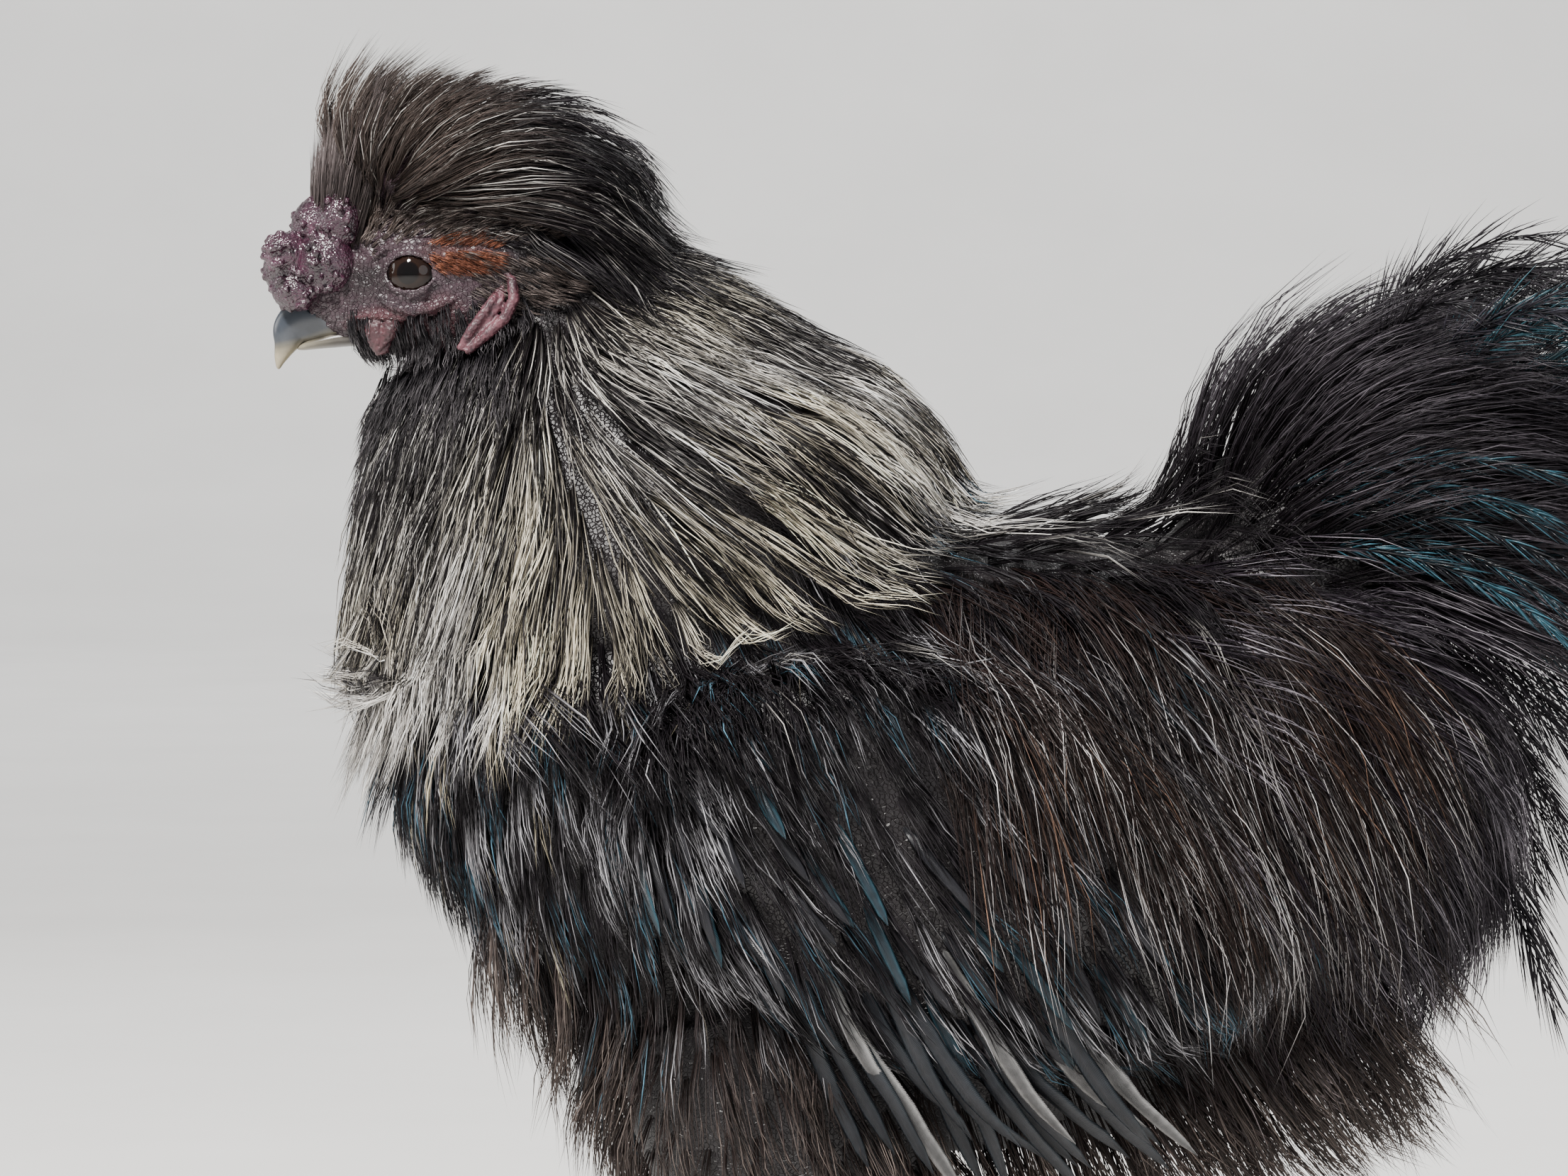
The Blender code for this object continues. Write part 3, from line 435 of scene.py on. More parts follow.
def colour_by(tree, shader, share, hue, shade):
    """Makes the shader's colour the hue times the shade, by this share."""
    made = tree.nodes.new("ShaderNodeMix")
    made.data_type = "RGBA"
    made.blend_type = "MULTIPLY"
    made.inputs[0].default_value = share
    tree.links.new(hue, made.inputs[6])
    tree.links.new(shade, made.inputs[7])
    tree.links.new(made.outputs[2], shader.inputs["Base Color"])


def colour_by_markings(tree, shader, scale, detail, stops):
    """Makes the shader's colour the mesh's markings, darkened here and there by noise."""
    marks = stored(tree, "markings", "Color")
    colour_by(tree, shader, 1.0, marks, ramp(tree, speckle(tree, scale, detail), stops))


def greys(least):
    """Stops from a grey of this brightness to white."""
    return (0.3, (least,) * 3), (0.7, (1, 1, 1))


def maths(tree, operation, one, two):
    made = tree.nodes.new("ShaderNodeMath")
    made.operation = operation
    for socket, value in zip(made.inputs, (one, two)):
        if isinstance(value, float):
            socket.default_value = value
        else:
            tree.links.new(value, socket)
    return made.outputs[0]


def bump(tree, height, distance, strength, under=None):
    made = tree.nodes.new("ShaderNodeBump")
    made.inputs["Strength"].default_value = strength
    made.inputs["Distance"].default_value = distance
    tree.links.new(height, made.inputs["Height"])
    if under:
        tree.links.new(under, made.inputs["Normal"])
    return made.outputs["Normal"]


def coat_material():
    """Silky barbs: the markings come with the strands, and fine noise varies them along each one."""
    made, tree, shader = node_tree("silky_coat", 0.42, 0.15)
    colour_by_markings(tree, shader, 700, 3, greys(0.66))
    return made


def vane_material():
    """Glossy webs: their barbs are fine slanting lines, counted out along each vane by the mesh."""
    made, tree, shader = node_tree("glossy_vanes", 0.32, 0.35)
    colour_by_markings(tree, shader, 420, 4, greys(0.55))
    turns = maths(tree, "MULTIPLY", stored(tree, "along", "Fac"), 2 * math.pi)
    wave = maths(tree, "SINE", turns, 0.0)
    tree.links.new(bump(tree, wave, 0.00006, 0.6), shader.inputs["Normal"])
    return made


def skin_material():
    """Dark silkie skin: mauve-grey, pored and creased, with the markings that the mesh carries."""
    made, tree, shader = node_tree("silkie_skin", 0.40, 0.45)
    stops = ((0.32, (0.45, 0.42, 0.46)), (0.5, (0.95, 0.92, 0.95)), (0.72, (1, 1, 1)))
    colour_by_markings(tree, shader, 260, 5, stops)
    crease = cells(tree, 900, "DISTANCE_TO_EDGE")
    fine = bump(tree, speckle(tree, 2600, 3), 0.0001, 0.5)
    depth = ramp(tree, crease, ((0.0, (0, 0, 0)), (0.12, (1, 1, 1))))
    tree.links.new(bump(tree, depth, 0.00026, 0.8, fine), shader.inputs["Normal"])
    return made


def comb_material():
    """A walnut comb: near-black mulberry skin, granular and a little shiny."""
    made, tree, shader = node_tree("comb_skin", 0.22, 0.7)
    stops = ((0.3, (0.014, 0.004, 0.009)), (0.5, (0.038, 0.012, 0.024)), (0.68, (0.080, 0.030, 0.052)))
    hue = ramp(tree, speckle(tree, 180, 5), stops)
    # Painted shade: the same cells that sink the grooves between the grains as a bump also darken their colour.
    pits_with_shade = ramp(tree, cells(tree, 1500), ((0.1, (1, 1, 1)), (0.75, (0.35, 0.33, 0.36))))
    colour_by(tree, shader, 0.8, hue, pits_with_shade)
    fine = bump(tree, speckle(tree, 2400, 3), 0.00012, 0.6)
    tree.links.new(bump(tree, pits_with_shade, 0.0003, 0.8, fine), shader.inputs["Normal"])
    return made


def horn_material(name, stops, roughness):
    """Horn whose colour runs with the share stored along the piece, faintly streaked."""
    made, tree, shader = node_tree(name, roughness)
    share = stored(tree, "along", "Fac")
    streaks = speckle(tree, 500, 4)
    colour_by(tree, shader, 0.8, ramp(tree, share, stops), ramp(tree, streaks, greys(0.7)))
    tree.links.new(bump(tree, streaks, 0.0001, 0.35), shader.inputs["Normal"])
    return made


def eye_material():
    """A nearly black iris round a black pupil, under a wet cornea. The gaze is the ball's own Z."""
    made, tree, shader = node_tree("eye", 0.05, 0.28)
    where = tree.nodes.new("ShaderNodeTexCoord")
    split = tree.nodes.new("ShaderNodeSeparateXYZ")
    tree.links.new(where.outputs["Object"], split.inputs["Vector"])
    squares = [maths(tree, "POWER", split.outputs[axis], 2.0) for axis in "XY"]
    across = maths(tree, "SQRT", maths(tree, "ADD", *squares), 0.5)
    spread = maths(tree, "DIVIDE", across, EYE_RADIUS)
    stops = (
        (0.0, (0.002, 0.002, 0.002)),
        (0.34, (0.003, 0.002, 0.002)),
        (0.40, (0.012, 0.006, 0.004)),
        (0.62, (0.008, 0.004, 0.003)),
        (0.70, (0.003, 0.002, 0.002)),
    )
    tree.links.new(ramp(tree, spread, stops), shader.inputs["Base Color"])
    return made


def lobe_material(name, low_colour, high_colour):
    made, tree, shader = node_tree(name, 0.46)
    hue = ramp(tree, speckle(tree, 330, 4), ((0.35, low_colour), (0.65, high_colour)))
    tree.links.new(hue, shader.inputs["Base Color"])
    tree.links.new(bump(tree, speckle(tree, 1300, 4), 0.0003, 0.6), shader.inputs["Normal"])
    return made


def floor_material():
    made, tree, shader = node_tree("studio_floor", 0.9)
    hue = ramp(tree, speckle(tree, 6, 3), ((0.3, (0.70, 0.69, 0.67)), (0.7, (0.74, 0.73, 0.71))))
    tree.links.new(hue, shader.inputs["Base Color"])
    return made


def finish(obj, finish_material, slot, *nodes):
    """Moves the piece to its place in the frame and ties it to the model."""
    obj.data.materials.clear()
    obj.data.materials.append(finish_material)
    if obj.location.length < 1e-9:
        obj.data.transform(Matrix.Translation(SHIFT))
    else:
        obj.location += SHIFT
    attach(obj, "root")
    if nodes:
        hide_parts(*nodes)


def set_markings(mesh, colours):
    layer = mesh.color_attributes.new("markings", "FLOAT_COLOR", "POINT")
    rgba = np.ones((len(colours), 4), np.float32)
    rgba[:, :3] = colours
    layer.data.foreach_set("color", rgba.ravel())


def points_of(mesh):
    made = np.empty(len(mesh.vertices) * 3, np.float32)
    mesh.vertices.foreach_get("co", made)
    return made.reshape(-1, 3)


def ramped(value, low, high):
    return np.clip((value - low) / (high - low), 0, 1)


def blend(one, two, share):
    return np.asarray(one) + (np.asarray(two) - np.asarray(one)) * np.asarray(share)[..., None]


def near(points, centre, radii):
    """1 at the centre, falling smoothly to 0 at the ellipsoid's edge. The sides count alike."""
    folded = np.column_stack([points[:, 0], np.abs(points[:, 1]), points[:, 2]])
    away = np.sqrt((((folded - np.array(centre)) / np.array(radii)) ** 2).sum(1))
    return np.clip(1 - away, 0, 1) ** 0.7


# Colours in linear light.
BLACK = (0.011, 0.009, 0.011)
SOOT = (0.010, 0.008, 0.009)
BROWN = (0.085, 0.055, 0.040)
RUST = (0.110, 0.040, 0.026)
SILVER = (0.900, 0.860, 0.810)
CREAM = (0.880, 0.780, 0.560)
# Painted light for the black breast and wing strands: a blue sheen and silver highlights.
PAINTED_SHEEN = (0.090, 0.210, 0.290)
PAINTED_HIGHLIGHT = (0.660, 0.650, 0.690)
FACE = (0.034, 0.019, 0.025)
# Painted shade for the hollow before the eye.
FACE_HOLLOW_SHADE = (0.008, 0.005, 0.006)
FACE_RED = (0.080, 0.018, 0.021)
LID = (0.060, 0.044, 0.051)
SLATE = (0.070, 0.075, 0.090)
# Rings of each eyelid: half width, half height, height over the ball and thickness.
LID_RINGS = (
    (0.0064, 0.0049, 0.0005, 0.00085),
    (0.0079, 0.0063, 0.0006, 0.00085),
    (0.0093, 0.0077, 0.0002, 0.00080),
)
# Hollows of the face: before the eye, and the line and corner of the mouth.
FACE_PITS = (
    ((-0.1705, 0.0128, 0.3080), (0.0030, 0.0012, 0.0016)),
    ((-0.1775, 0.0112, 0.2948), (0.0062, 0.0040, 0.0006)),
    ((-0.1640, 0.0140, 0.2952), (0.0060, 0.0018, 0.0005)),
)
# The patch of rust feathers above and behind the eye: its middle and half sizes.
RUST_PATCH = (-0.1462, 0.0160, 0.3150)
RUST_SIZE = (0.0098, 0.0042)
# Marks on the bare face: colour, centre, radii and strength. The first is painted shade in the hollow before
# the eye.
FACE_MARKS = (
    (FACE_HOLLOW_SHADE, (-0.1705, 0.0128, 0.3080), (0.009, 0.008, 0.006), 1.0),
    (FACE_RED, (-0.1660, 0.0125, 0.2950), (0.013, 0.010, 0.007), 0.9),
    (FACE_RED, (-0.1500, 0.0150, 0.2960), (0.008, 0.010, 0.010), 0.5),
    (RUST, RUST_PATCH, (0.0110, 0.010, 0.0060), 0.5),
    (LID, (-0.1573, 0.0172, 0.3100), (0.0100, 0.0040, 0.0085), 0.8),
)
# How much further the eyelids reach at the eye's corners.
LID_CORNER = 0.10
# How far the skin lies inside the solids that carry the coat.
SKIN_DEPTH = -0.004


def build_head_skin():
    shapes = [swept(HEAD_ROWS, 40, 48)]
    for side in (-1, 1):
        for rows in FACE_FOLDS:
            shapes.append(swept(mirrored(rows, side), 24, 12))
        outward = Vector((-EYE_TURN, side, 0.02)).normalized()
        ahead = (BACK - outward * BACK.dot(outward)).normalized()
        upward = outward.cross(ahead) * -side
        for wide, high, lift, radius in LID_RINGS:
            points = []
            for i in range(36):
                angle = 2 * math.pi * i / 36
                pointed = 1 + LID_CORNER * abs(math.cos(angle)) ** 3
                reach = ahead * math.cos(angle) * wide * pointed + upward * math.sin(angle) * high
                depth = math.sqrt(max(1e-7, (EYE_RADIUS + lift) ** 2 - reach.length_squared))
                points.append(side_point(EYE, side) + reach + outward * depth)
            shapes.append(tube(points, [radius] * len(points), 8, True))
    head = remeshed("skin_head", shapes, voxel=0.00055, smoothing=6)
    for side in (-1, 1):
        for centre, radii in FACE_PITS:
            solve(head, "DIFFERENCE", new_object("cut", ball(side_point(centre, side), radii)))
        socket = ball(side_point(EYE, side), (EYE_RADIUS,) * 3, 48, 32, 0.00005)
        solve(head, "DIFFERENCE", new_object("cut", socket))
    crumple(head.data, coarse=0.00050, coarse_scale=420, fine=0.00026, fine_scale=900)
    return head


def crumple(mesh, coarse, coarse_scale, fine, fine_scale):
    """Pushes a fine mesh in and out by cellular folds and a finer noise."""
    moved = points_of(mesh)
    normals = np.empty(len(mesh.vertices) * 3, np.float32)
    mesh.vertex_normals.foreach_get("vector", normals)
    normals = normals.reshape(-1, 3)
    lifts = np.empty(len(moved))
    for i, point in enumerate(moved):
        spot = Vector(point)
        warp = noise.noise_vector(spot * coarse_scale * 0.5) * 0.5
        cell = noise.voronoi(spot * coarse_scale + warp)[0]
        fold = min(1, (cell[1] - cell[0]) * 1.6) - 0.6
        lifts[i] = coarse * fold + fine * noise.noise(spot * fine_scale)
    moved += normals * lifts[:, None]
    mesh.vertices.foreach_set("co", moved.astype(np.float32).ravel())
    mesh.update()


def build_skin():
    """One closed skin over the whole bird, fine on the face and the feet, a little inside the solids."""
    shapes = [
        swept(TORSO_ROWS, 40, 48, SKIN_DEPTH),
        swept(NECK_ROWS, 30, 48, SKIN_DEPTH),
        swept(TAIL_ROWS, 20, 32, SKIN_DEPTH),
        swept(CREST_ROWS, 24, 32, -0.0035),
    ]
    for side in (-1, 1):
        shapes.append(swept(mirrored(WING_ROWS, side), 30, 32, -0.003))
        shapes.append(swept(mirrored(THIGH_ROWS, side), 24, 32, SKIN_DEPTH))
        shapes.append(swept(mirrored(SHANK_ROWS, side), 24, 24, 0))
    skin = remeshed("skin", shapes, voxel=0.0021, smoothing=4)
    solve(skin, "UNION", build_head_skin())
    for side in (-1, 1):
        foot_shapes = [ball(side_point(PALM, side), PALM_RADII)]
        foot_shapes += [swept(toe_rows(side, toe)[0], 40, 24) for toe in TOES]
        foot_shapes.append(swept(mirrored(SHANK_ROWS, side)[2:], 20, 24, 0.0002))
        foot = remeshed("foot", foot_shapes, voxel=0.0008, smoothing=4)
        crumple(foot.data, coarse=0.00022, coarse_scale=420, fine=0.0001, fine_scale=1200)
        solve(skin, "UNION", foot)
    solve(skin, "DIFFERENCE", new_object("slab", floor_slab()))
    mesh = skin.data
    points = points_of(mesh)
    colours = np.tile(np.array(SOOT), (len(points), 1))
    face = ramped(points[:, 0], -0.128, -0.140) * ramped(points[:, 2], 0.279, 0.288)
    colours = blend(colours, FACE, face)
    for colour, centre, radii, strength in FACE_MARKS:
        colours = blend(colours, colour, near(points, centre, radii) * strength)
    colours = blend(colours, SLATE, ramped(points[:, 2], 0.062, 0.050))
    set_markings(mesh, colours)
    nodes = ["torso", "neck", "head", "tail", "crest"]
    for name in SIDES:
        nodes += [part + "_" + name for part in ("wing", "thigh", "shank", "foot")]
    finish(skin, skin_material(), "head", *nodes)


# Along a toe: share of its reach, and its thickness there against TOE_HALF.
TOE_PADS = ((0.0, 1.15), (0.35, 1.0), (0.6, 1.08), (0.85, 0.92), (1.0, 0.7))


def toe_rows(side, toe):
    """The rows of one toe from the palm to its end, and the direction it points."""
    degrees, reach, tip_rise = TOES[toe]
    turn = math.radians(degrees)
    heading = Vector((-math.cos(turn), side * math.sin(turn), 0))
    rows = []
    for share, size in TOE_PADS:
        centre = side_point(PALM, side) + heading * reach * share
        half = TOE_HALF * size
        centre.z = half - SOLE_CUT + tip_rise * (0.4 + 0.6 * share)
        rows.append((*centre, half, half))
    return tuple(rows), heading


# Along a claw: share of its length, share of its thickness and how far it has bent down.
CLAW_CURVE = ((0.0, 1.0, 0.0), (0.35, 0.85, -0.0004), (0.7, 0.5, 0.0004), (1.0, 0.0, 0.0016))
CLAW_HALF = 0.0024


def claw_rows(side, toe):
    """The rows of one claw: it starts inside the toe's end and curves down to its point."""
    toe_line, heading = toe_rows(side, toe)
    start = Vector(toe_line[-1][:3]) - heading * 0.003
    rows = []
    for share, size, sag in CLAW_CURVE:
        centre = start + heading * CLAW_LENGTH * share - UP * sag
        half = CLAW_HALF * size
        rows.append((*centre, half, half * 0.85))
    return tuple(rows)


def floor_slab():
    """A slab under the floor's level, which cuts the soles flat."""
    square = ((-0.2, -0.2), (0.2, -0.2), (0.2, 0.2), (-0.2, 0.2))
    corners = [(x, y, z) for z in (-0.03, 0) for x, y in square]
    faces = [(3, 2, 1, 0), (4, 5, 6, 7)] + [(i, (i + 1) % 4, 4 + (i + 1) % 4, 4 + i) for i in range(4)]
    return [Vector(c) for c in corners], faces


def set_along(mesh, values):
    mesh.attributes.new("along", "FLOAT", "POINT").data.foreach_set("value", values.astype(np.float32))


NOSTRIL = (-0.1838, 0.0050, 0.3006)
NOSTRIL_RADII = (0.0018, 0.0013, 0.0008)
# Colours of the horn from the cream edge and tip to the blue-grey ridge.
UPPER_HORN = (
    (0.0, (0.30, 0.26, 0.18)),
    (0.18, (0.12, 0.11, 0.085)),
    (0.38, (0.042, 0.048, 0.058)),
    (1.0, (0.028, 0.034, 0.044)),
)
LOWER_HORN = ((0.0, (0.20, 0.18, 0.13)), (0.5, (0.09, 0.08, 0.065)), (1.0, (0.035, 0.03, 0.03)))


def build_bill():
    upper = new_object("bill_upper", swept(BEAK_UPPER_ROWS, 60, 40))
    for side in (-1, 1):
        nostril = ball(side_point(NOSTRIL, side), NOSTRIL_RADII)
        solve(upper, "DIFFERENCE", new_object("cut", nostril))
    points = points_of(upper.data)
    culmen = ramped(points[:, 2] - 0.2955 - 0.35 * (points[:, 0] + 0.180), -0.003, 0.007)
    tip = ramped(points[:, 2], 0.2935, 0.2870)
    set_along(upper.data, np.clip(culmen * (1 - tip), 0, 1))
    finish(upper, horn_material("bill_upper", UPPER_HORN, 0.30), "beak_upper", "beak_upper")
    lower = new_object("bill_lower", swept(BEAK_LOWER_ROWS, 40, 32))
    points = points_of(lower.data)
    set_along(lower.data, ramped(points[:, 0], -0.187, -0.172))
    finish(lower, horn_material("bill_lower", LOWER_HORN, 0.34), "beak_lower", "beak_lower")
    for obj in (upper, lower):
        obj.data.shade_smooth()


# Small beads that make the comb granular.
COMB_BEADS = 520


def build_comb():
    shapes = []
    for place, radii in COMB_BULBS:
        for side in (-1, 1) if place[1] else (1,):
            shapes.append(ball(side_point(place, side), radii, 32, 20, -0.0006))
    for _ in range(COMB_BEADS):
        place, radii = COMB_BULBS[rng.integers(len(COMB_BULBS))]
        out = Vector(rng.normal(size=3)).normalized()
        spot = Vector([p + o * r for p, o, r in zip(place, out, radii)])
        if rng.random() < 0.5:
            spot.y = -spot.y
        size = rng.uniform(0.0006, 0.0013)
        shapes.append(ball(spot - out * size * 0.7, (size, size, size), 10, 6))
    comb = remeshed("comb_walnut", shapes, voxel=0.00034, smoothing=3)
    crumple(comb.data, coarse=0.00016, coarse_scale=700, fine=0.00010, fine_scale=1500)
    finish(comb, comb_material(), "comb", "comb")


def build_eyes():
    paint = eye_material()
    for name, side in SIDES.items():
        outward = Vector((-EYE_TURN, side, 0.02)).normalized()
        eye = new_object("eyeball_" + name, ball((0, 0, 0), (EYE_RADIUS,) * 3, 48, 32))
        eye.data.shade_smooth()
        eye.rotation_mode = "QUATERNION"
        eye.rotation_quaternion = outward.to_track_quat("Z", "Y")
        eye.location = side_point(EYE, side)
        finish(eye, paint, "eye_" + name, "eye_" + name)


# The ear lobe's outer ridge, inner ridge and the web between them, with their radii.
LOBE_RIDGES = (
    (
        (
            (-0.1345, 0.0150, 0.3108), (-0.1322, 0.0170, 0.3082), (-0.1316, 0.0184, 0.3036),
            (-0.1340, 0.0190, 0.2986), (-0.1388, 0.0188, 0.2943), (-0.1440, 0.0182, 0.2899),
        ),
        (0.0012, 0.0015, 0.0016, 0.0016, 0.0015, 0.0012),
    ),
    (
        (
            (-0.1352, 0.0160, 0.3062), (-0.1372, 0.0180, 0.3030), (-0.1396, 0.0185, 0.2995),
            (-0.1426, 0.0184, 0.2955), (-0.1456, 0.0178, 0.2905),
        ),
        (0.0010, 0.0013, 0.0014, 0.0014, 0.0011),
    ),
    (
        (
            (-0.1342, 0.0158, 0.3075), (-0.1352, 0.0174, 0.3026),
            (-0.1384, 0.0178, 0.2976), (-0.1436, 0.0176, 0.2912),
        ),
        (0.0010, 0.0013, 0.0013, 0.0009),
    ),
)
# The wattle's folds, small and wrinkled.
WATTLE_FOLDS = (
    (
        (-0.1665, 0.0092, 0.3010, 0.0018, 0.0018),
        (-0.1672, 0.0104, 0.2962, 0.0030, 0.0020),
        (-0.1664, 0.0106, 0.2925, 0.0030, 0.0018),
        (-0.1655, 0.0104, 0.2892, 0.0016, 0.0012),
    ),
    (
        (-0.1625, 0.0108, 0.3000, 0.0016, 0.0014),
        (-0.1635, 0.0118, 0.2960, 0.0022, 0.0017),
        (-0.1640, 0.0116, 0.2920, 0, 0),
    ),
)


def build_lobes():
    pink = lobe_material("ear_lobe", (0.028, 0.009, 0.014), (0.112, 0.038, 0.050))
    red = lobe_material("wattle", (0.022, 0.007, 0.010), (0.062, 0.019, 0.024))
    for name, side in SIDES.items():
        shapes = [tube([side_point(p, side) for p in ridge], radii, 10) for ridge, radii in LOBE_RIDGES]
        lobe = remeshed("ear_lobe_" + name, shapes, voxel=0.00030, smoothing=5)
        crumple(lobe.data, coarse=0.00022, coarse_scale=900, fine=0.00016, fine_scale=1500)
        finish(lobe, pink, "earlobe_" + name, "earlobe_" + name)
        folds = [swept(mirrored(rows, side), 24, 16) for rows in WATTLE_FOLDS]
        wattle = remeshed("wattle_fold_" + name, folds, voxel=0.00032, smoothing=4)
        crumple(wattle.data, coarse=0.00040, coarse_scale=700, fine=0.00018, fine_scale=1500)
        finish(wattle, red, "wattle_" + name, "wattle_" + name)


CLAW_HORN = ((0.0, (0.16, 0.15, 0.14)), (0.6, (0.26, 0.24, 0.20)), (1.0, (0.42, 0.38, 0.30)))


def build_claws():
    paint = horn_material("claw_horn", CLAW_HORN, 0.35)
    for name, side in SIDES.items():
        for toe in TOES:
            claw = new_object("nail_%s_%d" % (name, toe), swept(claw_rows(side, toe), 20, 16))
            claw.data.shade_smooth()
            heading = toe_rows(side, toe)[1]
            reach = points_of(claw.data) @ np.array(heading)
            set_along(claw.data, ramped(reach, reach.min(), reach.max()))
            node = "claw_%s_%d" % (name, toe)
            finish(claw, paint, node, node)


def eased(value, start, width):
    """0 at the start, 1 a width further on, and no less or more outside. The width may be negative."""
    return min(1, max(0, (value - start) / width))


class Surface:
    """The outside of all the flesh as one tree, which feathers root in and lie over."""

    def __init__(self, shapes):
        verts, faces = joined(shapes)
        self.tree = BVHTree.FromPolygons(verts, faces)

    def settle(self, point):
        spot, normal, _, away = self.tree.find_nearest(point)
        out = point - spot
        if away < 1e-4 or out.dot(normal) < 0:
            return spot, normal
        return spot, out.normalized()

    def met_from(self, centre, out):
        return self.tree.ray_cast(centre + out * REACH, -out)[0]


def body_shapes():
    shapes = [swept(TORSO_ROWS, 40, 48), swept(NECK_ROWS, 30, 48), swept(TAIL_ROWS, 20, 28)]
    shapes += [swept(HEAD_ROWS, 30, 40), swept(CREST_ROWS, 24, 32)]
    for side in (-1, 1):
        for rows in (WING_ROWS, THIGH_ROWS, SHANK_ROWS):
            shapes.append(swept(mirrored(rows, side), 30, 32))
        shapes.append(ball(side_point(PALM, side), PALM_RADII, 24, 16))
        shapes += [swept(toe_rows(side, toe)[0], 12, 12) for toe in TOES]
    return shapes


BODY = Surface(body_shapes())
# Steps along the middle line of every tuft and feather.
STEPS = 6


class Tufts:
    """Middle lines of many tufts, with where each one roots on the body's own unwrap."""

    def __init__(self):
        self.points, self.normals, self.sides, self.spots, self.roots, self.sizes = [], [], [], [], [], []

    def add(self, line, spot, size=1.0):
        points, normals, headings = zip(*line)
        self.points.append(points)
        self.normals.append(normals)
        self.sides.append([h.cross(n).normalized() for h, n in zip(headings, normals)])
        self.spots.append(spot)
        self.roots.append(points[0])
        self.sizes.append(size)

    def arrays(self):
        made = [np.array(values, np.float64) for values in (self.points, self.normals, self.sides)]
        return (*made, np.array(self.spots), np.array(self.roots), np.array(self.sizes))


def along_skin(heading, normal, cling):
    """The heading turned out of the skin, and down onto it as far as the tuft clings."""
    away = heading.dot(normal)
    return (heading - normal * away * (min(1, 2 * cling) if away > 0 else 1)).normalized()


def lain(root, lie, length, rise, cling, sink):
    """A tuft's middle line: from a sunk root it follows lie over the body and rises to its tip."""
    free, normal = BODY.settle(root)
    heading = along_skin(lie(free), normal, cling)
    line = []
    step = length / STEPS
    for i in range(STEPS + 1):
        t = i / STEPS
        height = rise * t**0.8 - sink * (1 - t) ** 3
        line.append((free + normal * height, normal.copy(), heading.copy()))
        ahead = free + heading * step
        near_spot, out = BODY.settle(ahead + normal * rise)
        free = ahead.lerp(near_spot, cling)
        normal = normal.lerp(out, max(cling, 0.4)).normalized()
        heading = along_skin(heading.lerp(lie(free), 0.5), normal, cling)
    return line


# Each body has its own square of the unwrap, as (column, row) of this many each way, and mirror bodies lie
# side by side. A square keeps a margin free, and a tuft is a patch of this size.
UNWRAP_CELLS = 5
UNWRAP_MARGIN = 0.06
PATCH = 0.003


def unwrap_spot(cell, share, angle):
    size = 1 / UNWRAP_CELLS
    inner = 1 - 2 * UNWRAP_MARGIN
    u = (cell[0] + UNWRAP_MARGIN + inner * share) * size
    v = (cell[1] + UNWRAP_MARGIN + inner * (angle / (2 * math.pi) % 1)) * size
    return u, v


# Cross-sections looked up along a body, and how much longer than wide the ground of a tuft is.
SECTIONS = 60
GROUND_ASPECT = 2.4
# A place further than this from its own body's surface is covered by another one.
COVERED = 0.0008
# A tuft whose lie points out of the skin by more than this isn't planted.
STEEPEST = 0.85
# Neighbouring tufts drift the same way: scale and size of that drift.
DRIFT_SCALE = 45
DRIFT = 0.30


def sow(rows, cell, count, shares, angles, lie, length, rise, cling, sink=0.005, swing=0.12):
    """Tufts rooted evenly over part of a body, wherever nothing else covers it. length, rise and cling may
    be functions of the root."""
    tufts = Tufts()
    centre_rows = [(*section(rows, s), *between(rows, s)[3:]) for s in np.linspace(0, 1, SECTIONS)]
    body = BVHTree.FromPolygons(*swept(rows, 40, 48))
    span = math.radians(angles[1] - angles[0])
    across = max(1, round(math.sqrt(count * span / GROUND_ASPECT)))
    lines = max(1, round(count / across))
    for i in range(lines):
        for k in range(across):
            share = shares[0] + (shares[1] - shares[0]) * (i + rng.uniform(0, 1)) / lines
            angle = math.radians(angles[0]) + span * (k + rng.uniform(0, 1) + 0.5 * (i % 2)) / across
            centre, _, high, wide, tall, broad = centre_rows[min(SECTIONS - 1, int(share * SECTIONS))]
            out = high * math.cos(angle) * (tall + 1e-4) + wide * math.sin(angle) * (broad + 1e-4)
            spot = BODY.met_from(centre, out.normalized())
            if spot is None or body.find_nearest(spot)[3] > COVERED:
                continue
            long = (length(spot) if callable(length) else length) * rng.uniform(0.8, 1.12)
            lift = (rise(spot) if callable(rise) else rise) * rng.uniform(0.5, 1.25)
            grip = cling(spot) if callable(cling) else cling
            straight_out = lie(spot).dot(BODY.settle(spot)[1]) * min(1, 2 * grip) > STEEPEST
            if long <= 0 or straight_out:
                continue
            drift = noise.noise_vector(spot * DRIFT_SCALE) * DRIFT
            jitter = Vector(rng.uniform(-swing, swing, 3)) + drift * 0.6

            def swung(point, jitter=jitter):
                return (lie(point) + jitter).normalized()

            tufts.add(lain(spot, swung, long, lift, grip, sink), unwrap_spot(cell, share, angle))
    return tufts


def taken(lines, shares):
    """Each array of lines (T, STEPS + 1, 3) read at the shares (T, ...), and the index of the step before."""
    place = shares * STEPS
    index = np.minimum(place.astype(int), STEPS - 1)
    part = (place - index)[..., None]
    own = np.arange(len(shares)).reshape(-1, *[1] * (index.ndim - 1))
    return [v[own, index] * (1 - part) + v[own, index + 1] * part for v in lines], (own, index)


